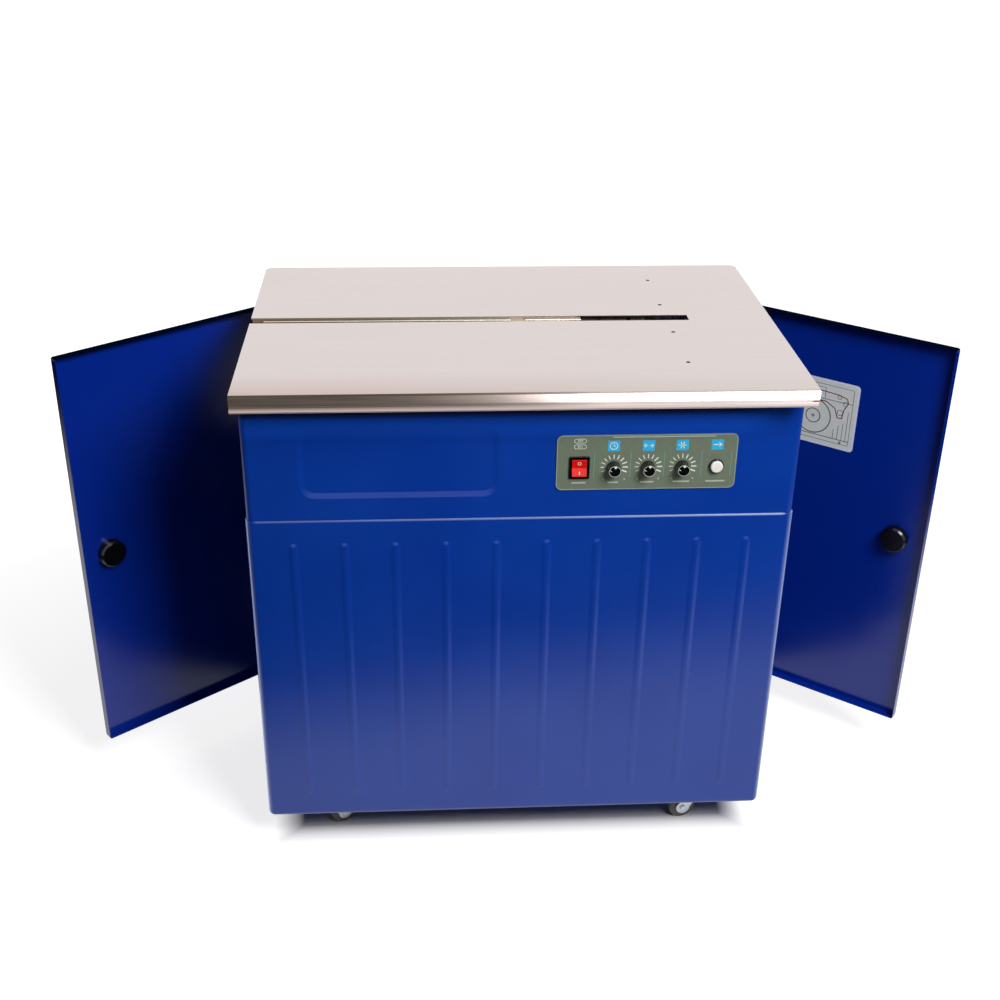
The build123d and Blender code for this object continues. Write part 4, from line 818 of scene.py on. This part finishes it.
bracketPlaces = [(Vector((machine["camX"] + side * machine["bracketX"], bracketRear, z)), Vector((0, 1, 0)))
                 for side in (-1, 1) for z in machine["bracketZ"]]
fastenerPiece("bracket_screws", socketScrew, bracketPlaces, machine["bracketHead"], "bright_steel", "cabinet")
headPlaces = [(Vector((x, headFront, z)), Vector((0, -1, 0))) for x, z in machine["headPlaces"]]
fastenerPiece("head_screws", socketScrew, headPlaces, machine["headHead"], "bright_steel", "cabinet")
tiePlaces = boltCircle(machine["camX"], motorFront, machine["motorZ"], machine["tieCircle"],
                       range(45, 405, 90), -1)
fastenerPiece("motor_tie_screws", panScrew, tiePlaces, machine["tieHead"], "zinc_steel", "cabinet")
reelPlaces = [place for y, facing in ((reelFront, -1), (reelRear, 1))
              for place in boltCircle(machine["reelX"], y, machine["reelZ"], machine["reelCircle"],
                                      range(30, 390, 60), facing)]
fastenerPiece("reel_screws", hexBolt, reelPlaces, machine["reelHead"], "zinc_steel", "cabinet")
print("fasteners placed")


# floor, lights and camera

studio = {
    "floorColour": "#BDBCBE", "floorReach": 40, "ambient": 0.05, "cabinetHalf": (411 * mm, 245.5 * mm),
    "clear": 50 * mm, "lift": 0.8, "liftFar": (0.9, 1.8), "cardColour": "#050404",
    "cards": {
        "dark_floor_card": {"velvet": "black_velvet_front", "corners": ((-5, -3.2), (4, -0.4)),
                            "height": 2 * mm, "weights": (0.25, 1.0), "fade": (0.57, 0.87)},
        "dark_left_card": {"velvet": "black_velvet_left", "corners": ((-1, -3.2), (-6, 3)),
                           "height": 3 * mm, "weights": (1.0, 0.0), "fade": (1.6, 2.2)},
        "dark_right_card": {"velvet": "black_velvet_right", "corners": ((1, -3.2), (6, 3)),
                            "height": 3 * mm, "weights": (-1.0, 0.0), "fade": (1.15, 1.6)},
    },
    "lights": {
        "key_light": {"position": (1.05, -1.75, 2.38), "target": (-0.05, -0.2, 0.5), "size": (1.1, 1.2),
                      "power": 27.0, "beam": 100.0, "shines": True},
        "rear_light": {"position": (-0.9, 2.8, 2.4), "target": (0, 0, 0.4), "size": (1.6, 1.6),
                       "power": 22.0, "beam": 180.0, "shines": False},
    },
}


def stagePlane(name, corners, height, material):
    (x, y), (farX, farY) = corners
    mesh = bmesh.new()
    outline = ((x, y), (farX, y), (farX, farY), (x, farY))
    mesh.faces.new([mesh.verts.new(Vector((*corner, height))) for corner in outline])
    data = bpy.data.meshes.new(name)
    mesh.to_mesh(data)
    mesh.free()
    plane = bpy.data.objects.new(name, data)
    scene.collection.objects.link(plane)
    data.materials.append(material)
    return plane


def floorMaterial():
    # painted studio floor that burns out to white away from the machine and keeps its shadow near it
    material, tree, place = startMaterial("matt_white_studio_floor")
    shade = addNode(tree, "ShaderNodeBsdfDiffuse", {"Color": hexColour(studio["floorColour"])})
    rays = addNode(tree, "ShaderNodeLightPath").outputs
    seen = addNode(tree, "ShaderNodeMath", (rays["Is Camera Ray"], rays["Is Glossy Ray"]), operation="MAXIMUM")
    away = addNode(tree, "ShaderNodeVectorMath", (place,), operation="LENGTH").outputs["Value"]
    sides = addNode(tree, "ShaderNodeSeparateXYZ", (place,)).outputs
    gaps = []
    for side, half in zip(sides, studio["cabinetHalf"]):
        distance = addNode(tree, "ShaderNodeMath", (side,), operation="ABSOLUTE")
        gaps.append(addNode(tree, "ShaderNodeMath", (distance, half - studio["clear"]), operation="SUBTRACT"))
    gap = addNode(tree, "ShaderNodeMath", gaps, operation="MAXIMUM")
    outside = addNode(tree, "ShaderNodeMapRange", (gap, 0.0, studio["clear"], 0.0, studio["lift"]))
    far = addNode(tree, "ShaderNodeMapRange", (away, *studio["liftFar"], 0.0, 1.0 - studio["lift"]))
    both = addNode(tree, "ShaderNodeMath", (outside, far), operation="ADD")
    strength = addNode(tree, "ShaderNodeMath", (seen, both), operation="MULTIPLY")
    glow = addNode(tree, "ShaderNodeEmission", {"Color": (1, 1, 1, 1), "Strength": strength})
    surface = addNode(tree, "ShaderNodeAddShader", (shade, glow))
    addNode(tree, "ShaderNodeOutputMaterial", {"Surface": surface})
    return material


def cardMaterial(name, weights, fade):
    # black velvet that fades in away from the machine
    material, tree, place = startMaterial(name)
    sides = addNode(tree, "ShaderNodeSeparateXYZ", (place,)).outputs
    parts = [addNode(tree, "ShaderNodeMath", (side, weight), operation="MULTIPLY")
             for side, weight in zip(sides, weights)]
    slanted = addNode(tree, "ShaderNodeMath", parts, operation="ADD")
    cover = zone(tree, (slanted, -fade[0], -fade[1]))
    clear = addNode(tree, "ShaderNodeBsdfTransparent")
    dark = addNode(tree, "ShaderNodeBsdfDiffuse", {"Color": hexColour(studio["cardColour"])})
    surface = addNode(tree, "ShaderNodeMixShader", (cover, clear, dark))
    addNode(tree, "ShaderNodeOutputMaterial", {"Surface": surface})
    return material


reach = studio["floorReach"]
stagePlane("studio_floor", ((-reach, -reach), (reach, reach)), 0, floorMaterial())
# cards that only gloss can see, as a photographer lays beside the lens
for name, card in studio["cards"].items():
    velvet = cardMaterial(card["velvet"], card["weights"], card["fade"])
    sheet = stagePlane(name, card["corners"], card["height"], velvet)
    sheet.visible_camera = False
    sheet.visible_diffuse = False
    sheet.visible_shadow = False
    sheet.visible_transmission = False

world = bpy.data.worlds.new("white_studio")
scene.world = world
world.use_nodes = True
tree = world.node_tree
tree.nodes.clear()
rays = addNode(tree, "ShaderNodeLightPath").outputs
seen = addNode(tree, "ShaderNodeMath", (rays["Is Camera Ray"], rays["Is Glossy Ray"]), operation="MAXIMUM")
seen = addNode(tree, "ShaderNodeMath", (seen, rays["Is Transmission Ray"]), operation="MAXIMUM")
strength = addNode(tree, "ShaderNodeMapRange", (seen, 0.0, 1.0, studio["ambient"], 1.0))
sky = addNode(tree, "ShaderNodeBackground", {"Color": (1, 1, 1, 1), "Strength": strength})
addNode(tree, "ShaderNodeOutputWorld", {"Surface": sky})

for name, light in studio["lights"].items():
    data = bpy.data.lights.new(name, "AREA")
    data.shape = "RECTANGLE"
    data.size, data.size_y = light["size"]
    data.energy = light["power"]
    data.spread = math.radians(light["beam"])
    lamp = bpy.data.objects.new(name, data)
    lamp.location = light["position"]
    lamp.rotation_mode = "QUATERNION"
    aim = Vector(light["target"]) - Vector(light["position"])
    lamp.rotation_quaternion = aim.to_track_quat("-Z", "Y")
    lamp.visible_glossy = light["shines"]
    scene.collection.objects.link(lamp)

camera = {"position": (-0.1511, -2.0269, 1.5695), "pitch": -27.24, "roll": -0.81, "yaw": -3.76,
          "focalPixels": 1352.5, "photoPixels": 1000, "sensor": 36.0, "near": 0.05, "far": 200.0}
lens = bpy.data.cameras.new("photo_camera")
lens.sensor_width = camera["sensor"]
lens.lens = camera["focalPixels"] / camera["photoPixels"] * camera["sensor"]
lens.clip_start = camera["near"]
lens.clip_end = camera["far"]
viewer = bpy.data.objects.new("photo_camera", lens)
viewer.matrix_world = (
    Matrix.Translation(Vector(camera["position"]))
    @ Matrix.Rotation(math.radians(camera["yaw"]), 4, "Z")
    @ Matrix.Rotation(math.radians(camera["pitch"]), 4, "X")
    @ Matrix.Rotation(math.radians(camera["roll"]), 4, "Y")
    @ Matrix.Rotation(math.radians(90), 4, "X")
)
scene.collection.objects.link(viewer)
scene.camera = viewer
print("stage set")

bpy.context.view_layer.update()
